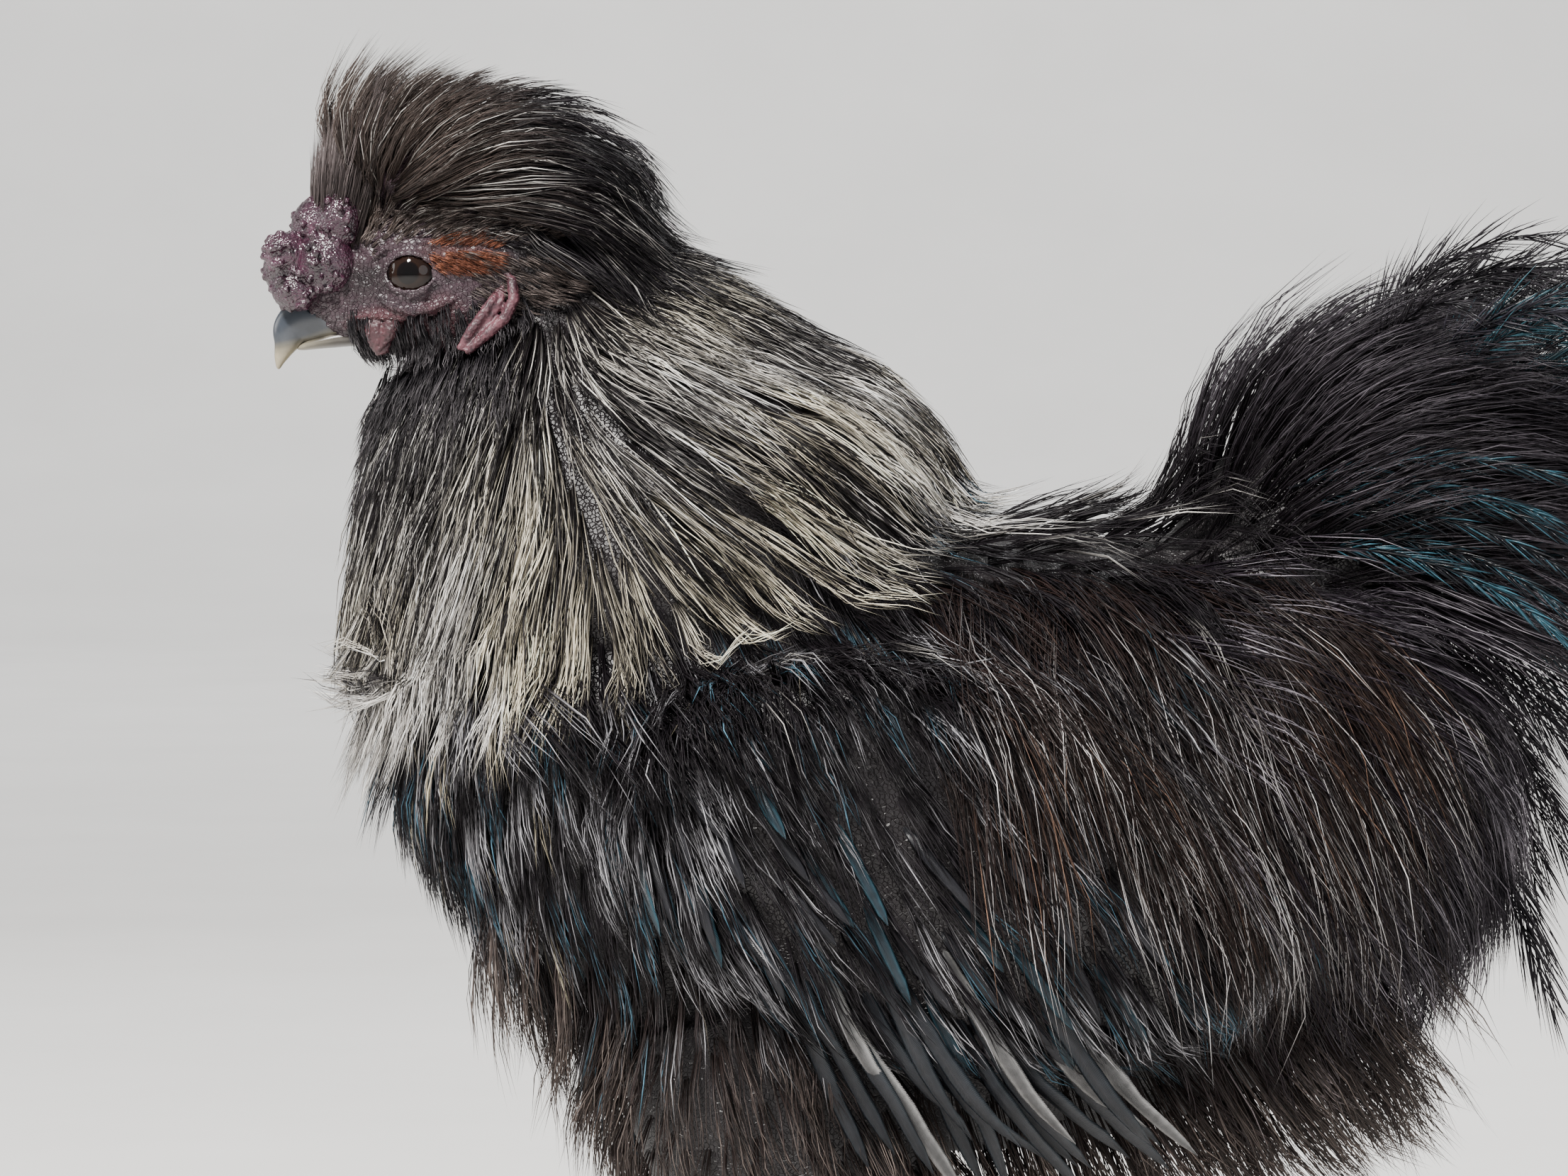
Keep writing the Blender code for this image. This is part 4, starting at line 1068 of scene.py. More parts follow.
def strand_faces(count, rings):
    """Faces of one closed three-sided strand: its quads, then its triangles."""
    quads, tris = [], []
    for r in range(rings - 1):
        for k in range(3):
            n = (k + 1) % 3
            quads.append((r * 3 + n, r * 3 + k, (r + 1) * 3 + k, (r + 1) * 3 + n))
    last = (rings - 1) * 3
    for k in range(3):
        tris.append((last + (k + 1) % 3, last + k, rings * 3))
    tris.append((0, 1, 2))
    step = (np.arange(count) * (rings * 3 + 1))[:, None, None]
    return (np.array(quads)[None] + step).reshape(-1, 4), (np.array(tris)[None] + step).reshape(-1, 3)


def mesh_object(name, verts, quads, tris, colours, uvs):
    """A mesh object from arrays, with the coat's markings and its bake map."""
    mesh = bpy.data.meshes.new(name)
    mesh.vertices.add(len(verts))
    mesh.vertices.foreach_set("co", verts.astype(np.float32).ravel())
    corners = np.concatenate([quads.ravel(), tris.ravel()]).astype(np.int32)
    starts = np.concatenate([np.arange(len(quads)) * 4, len(quads) * 4 + np.arange(len(tris)) * 3])
    mesh.loops.add(len(corners))
    mesh.loops.foreach_set("vertex_index", corners)
    mesh.polygons.add(len(starts))
    mesh.polygons.foreach_set("loop_start", starts.astype(np.int32))
    mesh.update(calc_edges=True)
    mesh.shade_smooth()
    set_markings(mesh, colours)
    layer = mesh.uv_layers.new(name="OFBake")
    layer.uv.foreach_set("vector", uvs[corners].astype(np.float32).ravel())
    obj = bpy.data.objects.new(name, mesh)
    bpy.context.scene.collection.objects.link(obj)
    return obj


def patch_of(spots, across, along):
    """Places on the bake map: each tuft's own spot, and on from it across and along its patch."""
    pair = np.broadcast_arrays(across, along)
    return np.stack([spots[:, i, None, None] + values * PATCH for i, values in enumerate(pair)], -1)


# Strands are shared out over pieces of no more triangles than this.
MOST_TRIANGLES = 185000


def strand_mesh(name, slot, centres, sides, normals, widths, colours, uvs, paint):
    """Coat pieces of closed strands. centres (..., R + 1, 3) sets their number, and the last of each is its
    tip. sides and normals (..., R, 3), widths (..., R), colours (..., R + 1, 3) and uvs (..., R + 1, 2) are
    spread out to that number."""
    lead, rings = centres.shape[:-2], centres.shape[-2] - 1
    count = math.prod(lead)

    def flat(values, *tail):
        return np.broadcast_to(values, (*lead, *tail)).reshape(count, *tail)

    centres = flat(centres, rings + 1, 3)
    colours = flat(colours, rings + 1, 3)
    uvs = flat(uvs, rings + 1, 2)
    turn = rng.uniform(0, 2 * math.pi, (count, 1, 1)) + np.arange(3)[None, None] * 2 * math.pi / 3
    offset = np.cos(turn)[..., None] * flat(sides, rings, 3)[:, :, None]
    offset = offset + np.sin(turn)[..., None] * flat(normals, rings, 3)[:, :, None]
    ring = centres[:, :-1, None] + offset * (flat(widths, rings) / 2)[:, :, None, None]
    verts = np.concatenate([ring.reshape(count, rings * 3, 3), centres[:, -1:]], 1)
    hues, spots = (np.concatenate([np.repeat(v[:, :-1], 3, 1), v[:, -1:]], 1) for v in (colours, uvs))
    per_strand = (rings - 1) * 6 + 4
    pieces = max(1, math.ceil(count * per_strand / MOST_TRIANGLES))
    for i, part in enumerate(np.array_split(np.arange(count), pieces)):
        where, *rest = (values[part].reshape(-1, values.shape[-1]) for values in (verts, hues, spots))
        finish(mesh_object("%s_%d" % (name, i + 1), where, *strand_faces(len(part), rings), *rest), paint, slot)


# Width of a strand, as places along it and shares of its full width.
STRAND_TAPER = ((0, 0.3, 0.7, 1), (0.7, 1.0, 0.75, 0.25))
# Length over which the pale colour sets in, and the brightest that a strand may be.
FADE = 0.28
BRIGHTEST = 0.95
# No strand hangs lower than this over the floor.
FLOOR_GAP = 0.0012


def coat(name, slot, tufts, per, width, spread, depth, segments, look, short=0.6, curl=0.0012):
    """Strands of every tuft. look(roots) gives each tuft's dark and pale colours, how much of it is pale,
    where along it that starts, and how far single strands differ."""
    points, normals, sides, spots, roots, _ = tufts.arrays()
    count = len(points)
    lean = rng.uniform(-1, 1, (count, per, 1))
    tall = rng.uniform(0, 1, (count, per, 1))
    long = rng.uniform(short, 1, (count, per, 1)) ** 0.8
    share = np.linspace(0, 1, segments + 1)[None, None]
    t = share * long
    (base, up, side), _ = taken((points, normals, sides), t)
    fan = 0.30 + 0.9 * t**0.8 - 0.35 * t**3
    phase = rng.uniform(0, 2 * math.pi, (count, per, 1))
    wave = rng.uniform(0.8, 1.8, (count, per, 1))
    sway = curl * t**1.3 * np.sin(2 * math.pi * wave * t + phase)
    sway = sway + spread * 0.5 * t**2 * rng.normal(0, 0.35, (count, per, 1))
    lift = depth * tall * (0.25 + 0.75 * t) + 0.5 * curl * t * np.cos(2 * math.pi * wave * t + phase)
    middle = base + side * (spread * lean * fan + sway)[..., None] + up * lift[..., None]
    middle[..., 2] = np.maximum(middle[..., 2], FLOOR_GAP)
    taper = np.interp(share[0, 0, :-1], *STRAND_TAPER)
    thick = width * taper * rng.uniform(0.55, 1.35, (count, per, 1))
    dark, pale, amount, start, differ = look(roots)
    amount = np.clip(amount[:, None, None] + rng.normal(0, 1, (count, per, 1)) * differ, 0, 1)
    fade = ramped(t - start[:, None, None], 0, FADE)
    hue = dark[:, None, None] + (pale - dark)[:, None, None] * (amount * fade)[..., None]
    hue = np.minimum(hue * rng.uniform(0.7, 1.3, (count, per, 1))[..., None], BRIGHTEST)
    patch = patch_of(spots, lean * 0.5, t - 0.5)
    strand_mesh(name, slot, middle, side[:, :, :-1], up[:, :, :-1], thick, hue, patch, COAT)


def mottle(points, scale, offset=0.0):
    """Soft noise from 0 to 1 at each point."""
    shift = Vector((offset, offset, offset))
    return np.array([0.5 + 0.7 * noise.noise(Vector(p) * scale + shift) for p in points]).clip(0, 1)


def tones(dark, pale, amount, start, differ):
    """A tuft look from arrays or single values."""
    count = len(amount)
    dark = np.broadcast_to(np.asarray(dark, float), (count, 3))
    pale = np.broadcast_to(np.asarray(pale, float), (count, 3))
    return dark, pale, amount, np.broadcast_to(np.asarray(start, float), (count,)), differ


# The hackle's lower edge: level in front of HACKLE_TURN, and rising to the back behind it.
HACKLE_EDGE = 0.190
HACKLE_TURN = -0.118
HACKLE_SLOPE = 0.59
# Ahead of this the neck's lower end overhangs the breast.
NECK_FRONT = -0.158
# Above this a tuft of the chest is silver and reaches the hackle's edge.
CHEST_SILVER = HACKLE_EDGE + 0.012


def either(chosen, one, other):
    """One colour for each tuft that is chosen, and the other for the rest."""
    return np.where(chosen[:, None], np.array(one), np.array(other))


def plain_look(dark, pale, least, gain, scale, start, differ):
    """A look that is no more than mottled: the pale share is least, and up to gain more."""

    def look(roots):
        return tones(dark, pale, least + gain * mottle(roots, scale), start, differ)

    return look


tail_fluff_look = plain_look((0.007, 0.005, 0.007), (0.13, 0.115, 0.135), 0.05, 0.35, 55, 0.25, 0.22)
thigh_look = plain_look((0.024, 0.017, 0.016), (0.20, 0.16, 0.14), 0.10, 0.40, 60, 0.30, 0.26)
face_look = plain_look((0.026, 0.020, 0.019), (0.20, 0.16, 0.145), 0.28, 0.2, 120, 0.1, 0.28)
rust_look = plain_look((0.045, 0.017, 0.013), (0.26, 0.095, 0.055), 0.35, 0.5, 200, 0.1, 0.28)
throat_look = plain_look((0.010, 0.009, 0.011), (0.17, 0.155, 0.165), 0.06, 0.45, 80, 0.30, 0.22)


def hackle_look(roots):
    """Dark at the throat and nape and along the parting, brightest silver low on the neck."""
    behind = ramped(roots[:, 0], -0.140, -0.115)
    high = ramped(roots[:, 2], 0.270 + 0.044 * behind, 0.238 + 0.044 * behind)
    patchy = ramped(mottle(roots, 48), 0.26, 0.56)
    parting = np.exp(-(((roots[:, 0] - parting_at(roots[:, 2])) / 0.009) ** 2))
    amount = (0.06 + 1.30 * high) * (0.06 + 0.94 * patchy) * (1 - 0.80 * parting)
    amount *= np.where(rng.random(len(roots)) < 0.30, 0.10, 1)
    amount -= 0.16
    pale = blend(SILVER, CREAM, 0.8 * ramped(mottle(roots, 30, 9.0), 0.38, 0.65))
    return tones((0.010, 0.008, 0.009), pale, amount, 0.12 - 0.08 * high, 0.48)


def parting_at(z):
    """Where the hackle parts at this height. It falls straight before that and sweeps back behind it."""
    return -0.124 + 0.37 * np.clip(0.290 - z, 0, 1)


def crest_look(roots):
    """Brown-grey in front and black behind, streaked by silver strands, most of them low at the sides."""
    front = ramped(roots[:, 0], -0.138, -0.156)
    low = ramped(np.abs(roots[:, 1]), 0.006, 0.014) * ramped(roots[:, 2], 0.345, 0.332)
    own = rng.uniform(0.6, 1.5, (len(roots), 1))
    dark = blend(BLACK, (0.044, 0.033, 0.029), front) * own
    amount = -0.80 + 0.34 * low + 0.08 * front + np.where(rng.random(len(roots)) < 0.10, 0.35, 0)
    return tones(dark, SILVER, amount, 0.05, 0.50)


def painted_glints(roots, teal, gloss, gain, full):
    """Each tuft's draw, pale colour and pale share: a share of them a painted teal sheen, the rest painted
    silver highlights in patches.
    """
    kind = rng.random(len(roots))
    pale = either(kind < teal, PAINTED_SHEEN, PAINTED_HIGHLIGHT)
    return kind, pale, np.where(kind < teal, gloss, -0.60 + gain * ramped(mottle(roots, 75), 0.42, full))


def breast_look(roots):
    """Black with short painted highlights, silver and some cream, and a painted blue sheen, turning plain brown
    low down.
    """
    kind, pale, amount = painted_glints(roots, 0.14, 0.4, 1.25, 0.72)
    pale = either(kind > 0.92, np.array(CREAM) * 0.8, pale)
    low = ramped(roots[:, 2], 0.155, 0.120)
    return tones(blend(BLACK, BROWN, 0.25 * low), pale, amount - 0.5 * low, 0.40, 0.52)


def chest_look(roots):
    """Silver like the hackle down to the hackle's edge, and black with painted highlights and sheen below it.
    """
    dark, pale, amount, start, differ = breast_look(roots)
    silver = roots[:, 2] > CHEST_SILVER
    pale = either(silver, SILVER, pale)
    return dark, pale, np.where(silver, 0.7, amount), np.where(silver, 0.1, start), differ


def wing_look(roots):
    """Black with painted silver highlights and a painted blue sheen below the wing's dark upper edge."""
    _, pale, amount = painted_glints(roots, 0.16, 0.3, 1.3, 0.76)
    low = ramped(roots[:, 2], 0.215, 0.185)
    return tones(BLACK, pale, amount - 0.4 * (1 - low), 0.42, 0.52)


def flank_look(roots):
    """Near-black at the root, brown and then silver-grey at the tip, and darker towards the rear."""
    rear = ramped(roots[:, 0], 0.040, 0.078)
    amount = -0.98 + 1.30 * mottle(roots, 55) - 0.5 * rear
    pale = blend((0.88, 0.84, 0.83), (0.22, 0.13, 0.09), mottle(roots, 48, 5.0) > 0.62)
    return tones((0.018, 0.011, 0.010), pale, amount, 0.42, 0.90)


def saddle_look(roots):
    """Black, with a silver strand here and there."""
    amount = np.where(rng.random(len(roots)) < 0.06, 0.2, -0.5)
    return tones(BLACK, SILVER, amount, 0.4, 0.28)


def rump_look(roots):
    """Dark grey-purple, with a few pale strands, turning brown below."""
    amount = -0.25 + 0.65 * ramped(mottle(roots, 45), 0.35, 0.8)
    brown = ramped(roots[:, 2], 0.150, 0.105)
    dark = blend((0.013, 0.009, 0.014), (0.026, 0.016, 0.014), brown)
    pale = blend((0.44, 0.40, 0.45), (0.22, 0.15, 0.12), brown)
    return tones(dark, pale, amount, 0.30, 0.36)


def rust_length(spot):
    away = math.hypot((spot.x - RUST_PATCH[0]) / RUST_SIZE[0], (spot.z - RUST_PATCH[2]) / RUST_SIZE[1])
    return 0.0062 if away < 1 else 0


def steady(direction):
    """A lie that is the same all over."""
    heading = direction.normalized()
    return lambda point: heading


breast_lie = steady(DOWN + BACK * 0.35)
chest_lie = steady(DOWN - BACK * 0.12)
chin_lie = steady(DOWN + BACK * 0.25)
flight_lie = steady(DOWN * 0.86 + BACK * 0.46)


def hackle_lie(point):
    """Straight down in front of the parting, and swept back over the shoulders behind it."""
    behind = eased(point.x - float(parting_at(point.z)), -0.010, 0.024)
    out = ACROSS * 1.2 * point.y
    return (DOWN * (1 - 0.36 * behind) + BACK * (-0.06 + 0.82 * behind) + out).normalized()


def hackle_room(spot):
    return spot.z - HACKLE_EDGE - HACKLE_SLOPE * max(0, spot.x - HACKLE_TURN)


def hackle_length(spot):
    """As long as the root's height allows, without passing the hackle's lower edge."""
    room = hackle_room(spot)
    if room < 0.012 or spot.x < NECK_FRONT and spot.z < 0.216:
        return 0
    lie = hackle_lie(spot)
    reach = room / (HACKLE_SLOPE * max(0, lie.x) * (spot.x > HACKLE_TURN) - lie.z)
    trail = 0.020 * eased(spot.x, -0.090, 0.025)
    return min(0.062 - 0.26 * max(0, spot.z - 0.235), (reach + 0.008 + trail) * rng.uniform(0.7, 1.1))


def bib_length(spot):
    beneath = spot.x < NECK_FRONT and spot.z < 0.212
    return 0.038 if hackle_room(spot) < 0.026 and not beneath else 0


def hackle_cling(spot):
    """Low in front the tufts hang clear of the neck's turn into the breast."""
    return 0.85 - 0.6 * eased(spot.z, 0.250, -0.020) * eased(spot.x, -0.135, -0.015)


def hackle_rise(spot):
    return 0.003 + 0.007 * eased(spot.z, 0.300, -0.060)


def back_lie(point):
    """Back along the spine, and out and down over the wings at the sides."""
    steep = min(1, abs(point.y) / 0.050)
    aside = ACROSS * math.copysign(0.55 * steep, point.y)
    return (BACK * (1 - 0.60 * steep) + DOWN * (0.15 + 0.75 * steep) + aside).normalized()


def back_length(spot):
    return 0.044 + 0.012 * min(1, abs(spot.y) / 0.040)


def back_cling(spot):
    return 0.8 - 0.35 * min(1, abs(spot.y) / 0.040)


def flank_lie(point):
    return (DOWN + BACK * (0.22 + 3.4 * max(0, point.x))).normalized()


def crest_lie(point):
    """Upright over the forehead, and swept back and down behind it and at the sides."""
    share = eased(point.x, -0.182, 0.080)
    low = eased(point.z, 0.336, -0.014) * min(1, 2.5 * share)
    high = eased(point.z, 0.332, 0.030)
    pitch = math.radians(92 - 128 * share - 32 * low - 26 * high)
    return (UP * math.sin(pitch) + BACK * math.cos(pitch) + ACROSS * 7 * point.y).normalized()


def brush_lie(point):
    """Straight up behind the comb's top, leaning back as it rises."""
    pitch = math.radians(80 - 600 * max(0, point.x + 0.184) - 300 * max(0, point.z - 0.333))
    return (UP * math.sin(pitch) + BACK * math.cos(pitch) + ACROSS * 12 * point.y).normalized()


def brush_length(spot):
    """Up through the comb's root to the crest's front edge."""
    if abs(spot.y) > 0.0095 or spot.z < 0.309:
        return 0
    return 0.348 - spot.z + 1.5 * max(0, spot.x + 0.184)


def brush_look(roots):
    """Brown-grey, each tuft paler by its own amount."""
    amount = rng.uniform(0.0, 0.5, len(roots))
    return tones((0.038, 0.030, 0.029), (0.20, 0.165, 0.165), amount, 0.3, 0.3)


def crest_length(spot):
    """Long enough to reach the crest's top from below, and trailing behind."""
    upright = 0.020 + 1.05 * max(0, 0.354 - spot.z)
    behind = eased(spot.x, -0.150, 0.025)
    return min(0.046, upright + (0.042 - upright) * behind)


def crest_rise(spot):
    return 0.0015 + 0.0065 * eased(spot.x, -0.165, 0.030)


def crest_cling(spot):
    return 0.08 + 0.30 * eased(spot.x, -0.158, 0.025)


def under_comb(spot):
    """Whether the comb sits over this point."""
    for place, radii in COMB_BULBS:
        away = [(abs(c) if i == 1 else c) - p for i, (c, p) in enumerate(zip(spot, place))]
        if sum((a / (r + 0.0004)) ** 2 for a, r in zip(away, radii)) < 1:
            return True
    return False


def forehead_length(spot):
    if spot.z < 0.3175 or spot.x < -0.1745:
        return 0
    return 0.009 + 0.8 * max(0, spot.z - 0.3175) + (0.008 if under_comb(spot) else 0)


# Where the fan of tail fluff spreads from, and the height that it doesn't pass.
TAIL_BASE = Vector((0.040, 0, 0.205))
TAIL_TOP = 0.326


def tail_lie(point):
    """Out from the tail's root as a fan, and bending down with the way along."""
    reach = point - TAIL_BASE
    pitch = math.atan2(reach.z, reach.x) - 0.32 - 7 * max(0, reach.length - 0.05)
    return (BACK * math.cos(pitch) + UP * math.sin(pitch) + ACROSS * 8 * point.y).normalized()


def under_lie(point):
    """Back and down from the underside of the tail's root."""
    return (BACK * 0.86 + DOWN * 0.50 + ACROSS * 5 * point.y).normalized()


def tail_length(spot):
    return min(0.066, max(0.020, 1.2 * (TAIL_TOP - spot.z)))


def chest_length(spot):
    """Only low in the middle of the front, where the silver ones hang to the hackle's lower edge."""
    if spot.x > -0.150 or spot.z > 0.228:
        return 0
    return max(0.028, spot.z - HACKLE_EDGE + 0.012) if spot.z > CHEST_SILVER else 0.034


def fluff_lie(point):
    """Down, and more and more back towards the rear and under the tail."""
    high = eased(point.z, 0.180, 0.035) * eased(point.x, 0, 0.05)
    return (DOWN + BACK * (0.30 + 6 * max(0, point.x) + 1.6 * high)).normalized()


def wing_lie(point):
    """Down and back, and out over the wing's upper edge."""
    top = eased(point.z, 0.190, 0.020)
    aside = ACROSS * math.copysign(0.7 * top, point.y)
    return (DOWN * 0.85 + BACK * (0.52 - 0.25 * top) + aside).normalized()


def shoulder_lie(point):
    """Out over the wing from the side of the back, and then down its face."""
    inside = eased(abs(point.y), 0.092, -0.018)
    out = ACROSS * math.copysign(0.80 * inside, point.y)
    return (DOWN * (0.95 - 0.45 * inside) + BACK * 0.45 + out).normalized()


def shoulder_length(spot):
    """Only from a band above the wing."""
    return 0.052 if 0.198 < spot.z < 0.238 else 0


def shank_lie(point):
    return (DOWN * 0.8 + ACROSS * math.copysign(0.6, point.y) + BACK * 0.2).normalized()


def head_lie(point):
    """Back over the head, and down behind the ear."""
    return (BACK + UP * (0.45 if point.z > 0.316 else -0.5)).normalized()


def face_length(spot):
    """Feathers stop short of the eye, the bare cheek, the ear lobe and the comb."""
    away = math.hypot((spot.x - EYE.x) / 0.0104, (spot.z - EYE.z) / 0.0074)
    floor = 0.2895 if spot.x < -0.158 else 0.3005
    bare = spot.x < -0.1450 and floor < spot.z < 0.3150
    if away < 1 or bare or under_comb(spot):
        return 0
    return 0.0065 + 0.10 * max(0, spot.x + 0.160)


def toe_lie(point):
    """Outward over the outer toes, and back."""
    return (ACROSS * math.copysign(0.8, point.y) + BACK * 0.35 + DOWN * 0.25).normalized()


FEATHERED_TOES = (3, 4)


def build_coat():
    """All the strands, one coat after the other. Each has its name and slot (the slot is not used), its tufts,
    and then how many strands a tuft has, their width, how far they spread across and out, their segments and
    their look."""
    coat(
        "hackle", "neck",
        sow(
            NECK_ROWS, (0, 0), 1450, (0.04, 0.97), (0, 360),
            hackle_lie, hackle_length, hackle_rise, hackle_cling, swing=0.17,
        ),
        11, 0.00038, 0.0040, 0.0030, 4, hackle_look, short=0.5, curl=0.0015,
    )
    coat(
        "bib", "neck",
        sow(NECK_ROWS, (0, 0), 1000, (0.0, 0.60), (0, 360), breast_lie, bib_length, 0.006, 0.35),
        9, 0.00038, 0.0038, 0.0030, 3, breast_look, curl=0.0014,
    )
    coat(
        "throat", "neck",
        sow(NECK_ROWS, (0, 0), 420, (0.72, 0.99), (-90, 90), chin_lie, 0.026, 0.005, 0.6),
        7, 0.00034, 0.0028, 0.0025, 3, throat_look, curl=0.0014,
    )
    coat(
        "crest", "crest",
        sow(
            CREST_ROWS, (1, 0), 900, (0.01, 0.97), (0, 360),
            crest_lie, crest_length, crest_rise, crest_cling, 0.004, 0.16,
        ),
        9, 0.00032, 0.0024, 0.0028, 3, crest_look, curl=0.0010,
    )
    coat(
        "forehead", "head",
        sow(
            HEAD_ROWS, (2, 0), 1300, (0.10, 0.90), (-80, 80),
            crest_lie, forehead_length, 0.0010, 0.2, 0.001, 0.2,
        ),
        7, 0.00028, 0.0012, 0.0014, 2, crest_look, curl=0.0006,
    )
    coat(
        "brush", "head",
        sow(
            HEAD_ROWS, (2, 0), 420, (0.09, 0.30), (-60, 60),
            brush_lie, brush_length, 0.0005, 0.0, 0.001, 0.13,
        ),
        9, 0.00026, 0.0018, 0.0010, 3, brush_look, short=0.75, curl=0.0008,
    )
    coat(
        "face", "head",
        sow(HEAD_ROWS, (2, 0), 1700, (0.12, 0.97), (-112, 112), head_lie, face_length, 0.0018, 0.8, 0.001),
        6, 0.00026, 0.0011, 0.0010, 2, face_look, curl=0.0004,
    )
    coat(
        "rust", "head",
        sow(HEAD_ROWS, (2, 0), 5200, (0.25, 0.75), (-112, 112), head_lie, rust_length, 0.0012, 0.7, 0.001),
        5, 0.00024, 0.0010, 0.0008, 2, rust_look, curl=0.0004,
    )
    coat(
        "chin", "head",
        sow(HEAD_ROWS, (2, 0), 600, (0.22, 0.97), (105, 255), chin_lie, 0.011, 0.003, 0.5, 0.001),
        8, 0.00028, 0.0016, 0.0016, 3, throat_look, curl=0.001,
    )
    coat(
        "breast", "torso",
        sow(TORSO_ROWS, (3, 0), 1000, (0.01, 0.40), (55, 305), breast_lie, 0.034, 0.010, 0.7),
        9, 0.00040, 0.0036, 0.0035, 3, breast_look, curl=0.0014,
    )
    coat(
        "chest", "neck",
        sow(NECK_ROWS, (0, 0), 220, (0.0, 0.45), (-70, 70), chest_lie, chest_length, 0.0045, 0.0),
        9, 0.00040, 0.0040, 0.0035, 3, chest_look, curl=0.0014,
    )
    coat(
        "saddle", "torso",
        sow(TORSO_ROWS, (3, 0), 860, (0.16, 0.90), (-66, 66), back_lie, back_length, 0.010, back_cling),
        9, 0.00040, 0.0040, 0.0035, 3, saddle_look, curl=0.0018,
    )
    coat(
        "rump", "torso",
        sow(TORSO_ROWS, (3, 0), 740, (0.60, 0.995), (30, 330), fluff_lie, 0.052, 0.015, 0.5),
        9, 0.00040, 0.0046, 0.006, 3, rump_look, curl=0.0020,
    )
    coat(
        "belly", "torso",
        sow(TORSO_ROWS, (3, 0), 480, (0.16, 0.84), (125, 235), fluff_lie, 0.042, 0.016, 0.15),
        9, 0.00040, 0.0044, 0.006, 3, thigh_look, curl=0.0024,
    )
    coat(
        "tail_fluff", "tail",
        sow(TAIL_ROWS, (4, 0), 620, (0.10, 0.99), (0, 360), tail_lie, tail_length, 0.006, 0.10),
        9, 0.00040, 0.0050, 0.006, 3, tail_fluff_look, curl=0.0020,
    )
    coat(
        "tail_under", "tail",
        sow(TAIL_ROWS, (4, 0), 110, (0.02, 0.60), (110, 250), under_lie, 0.056, 0.004, 0.0),
        9, 0.00042, 0.0060, 0.007, 3, rump_look, curl=0.0020,
    )
    for column, (name, side) in enumerate(SIDES.items()):
        rows = mirrored(WING_ROWS, side)
        outer = (-14, 180) if side > 0 else (180, 374)
        coat(
            "coverts_" + name, "wing_" + name,
            sow(rows, (column, 1), 500, (0.04, 0.97), outer, wing_lie, 0.032, 0.008, 0.7, 0.004),
            9, 0.00042, 0.0034, 0.0028, 3, wing_look, curl=0.0012,
        )
        upper = (34, 84) if side > 0 else (276, 326)
        coat(
            "shoulder_" + name, "torso",
            sow(TORSO_ROWS, (3, 0), 170, (0.14, 0.64), upper, shoulder_lie, shoulder_length, 0.008, 0.10),
            9, 0.00042, 0.0042, 0.0035, 3, wing_look, curl=0.0014,
        )
        flank = (26, 76) if side > 0 else (284, 334)
        coat(
            "flank_" + name, "torso",
            sow(TORSO_ROWS, (3, 0), 300, (0.47, 0.76), flank, flank_lie, 0.104, 0.013, 0.58, swing=0.18),
            11, 0.00034, 0.0066, 0.005, 4, flank_look, short=0.42, curl=0.0026,
        )
        rows = mirrored(THIGH_ROWS, side)
        coat(
            "thigh_" + name, "thigh_" + name,
            sow(rows, (column, 2), 420, (0.02, 0.93), (0, 360), fluff_lie, 0.034, 0.011, 0.4),
            9, 0.00038, 0.0038, 0.004, 3, thigh_look, curl=0.0020,
        )
        rows = mirrored(SHANK_ROWS, side)
        outer = (-50, 230) if side > 0 else (130, 410)
        coat(
            "shank_" + name, "shank_" + name,
            sow(rows, (column, 3), 130, (0.10, 0.98), outer, shank_lie, 0.026, 0.007, 0.4, 0.001),
            7, 0.00034, 0.0018, 0.002, 3, thigh_look, curl=0.001,
        )
        for toe in FEATHERED_TOES:
            coat(
                "toe_%s_%d" % (name, toe), "foot_" + name,
                sow(
                    toe_rows(side, toe)[0], (column + 2, 3), 60, (0.0, 0.75), (-90, 90),
                    toe_lie, 0.022, 0.005, 0.5, 0.001,
                ),
                7, 0.00032, 0.0016, 0.002, 3, thigh_look, curl=0.001,
            )


# How deep the quill of a free feather is rooted.
QUILL_DEPTH = 0.006


def free_line(root, heading, normal, length, droop):
    """The middle line of a feather that stands free and bends down by droop degrees in all."""
    point = root - heading * QUILL_DEPTH
    line = []
    for _ in range(STEPS + 1):
        out = (normal - heading * normal.dot(heading)).normalized()
        line.append((point.copy(), out, heading.copy()))
        point = point + heading * (length + QUILL_DEPTH) / STEPS
        axis = heading.cross(DOWN)
        if axis.length > 0.05:
            turn = Matrix.Rotation(math.radians(droop) / STEPS, 3, axis.normalized())
            heading = (turn @ heading).normalized()
            normal = turn @ normal
    return line


# Tail feathers: pitch in degrees up from level, length, and droop in degrees.
TAIL_FAN = (
    (-58, 0.058, 6),
    (-38, 0.066, 10),
    (-18, 0.074, 16),
    (2, 0.080, 28),
    (20, 0.092, 46),
    (36, 0.104, 70),
    (52, 0.106, 96),
    (66, 0.082, 118),
    (80, 0.050, 96),
    (98, 0.028, 60),
)


# Width of a barb, as places along it and shares of its full width, and width of a quill at root and tip.
BARB_TAPER = ((0, 0.4, 1), (0.8, 1.0, 0.3))
BARB_SEGMENTS = 3
QUILL_WIDTHS = (0.0011, 0.0003)


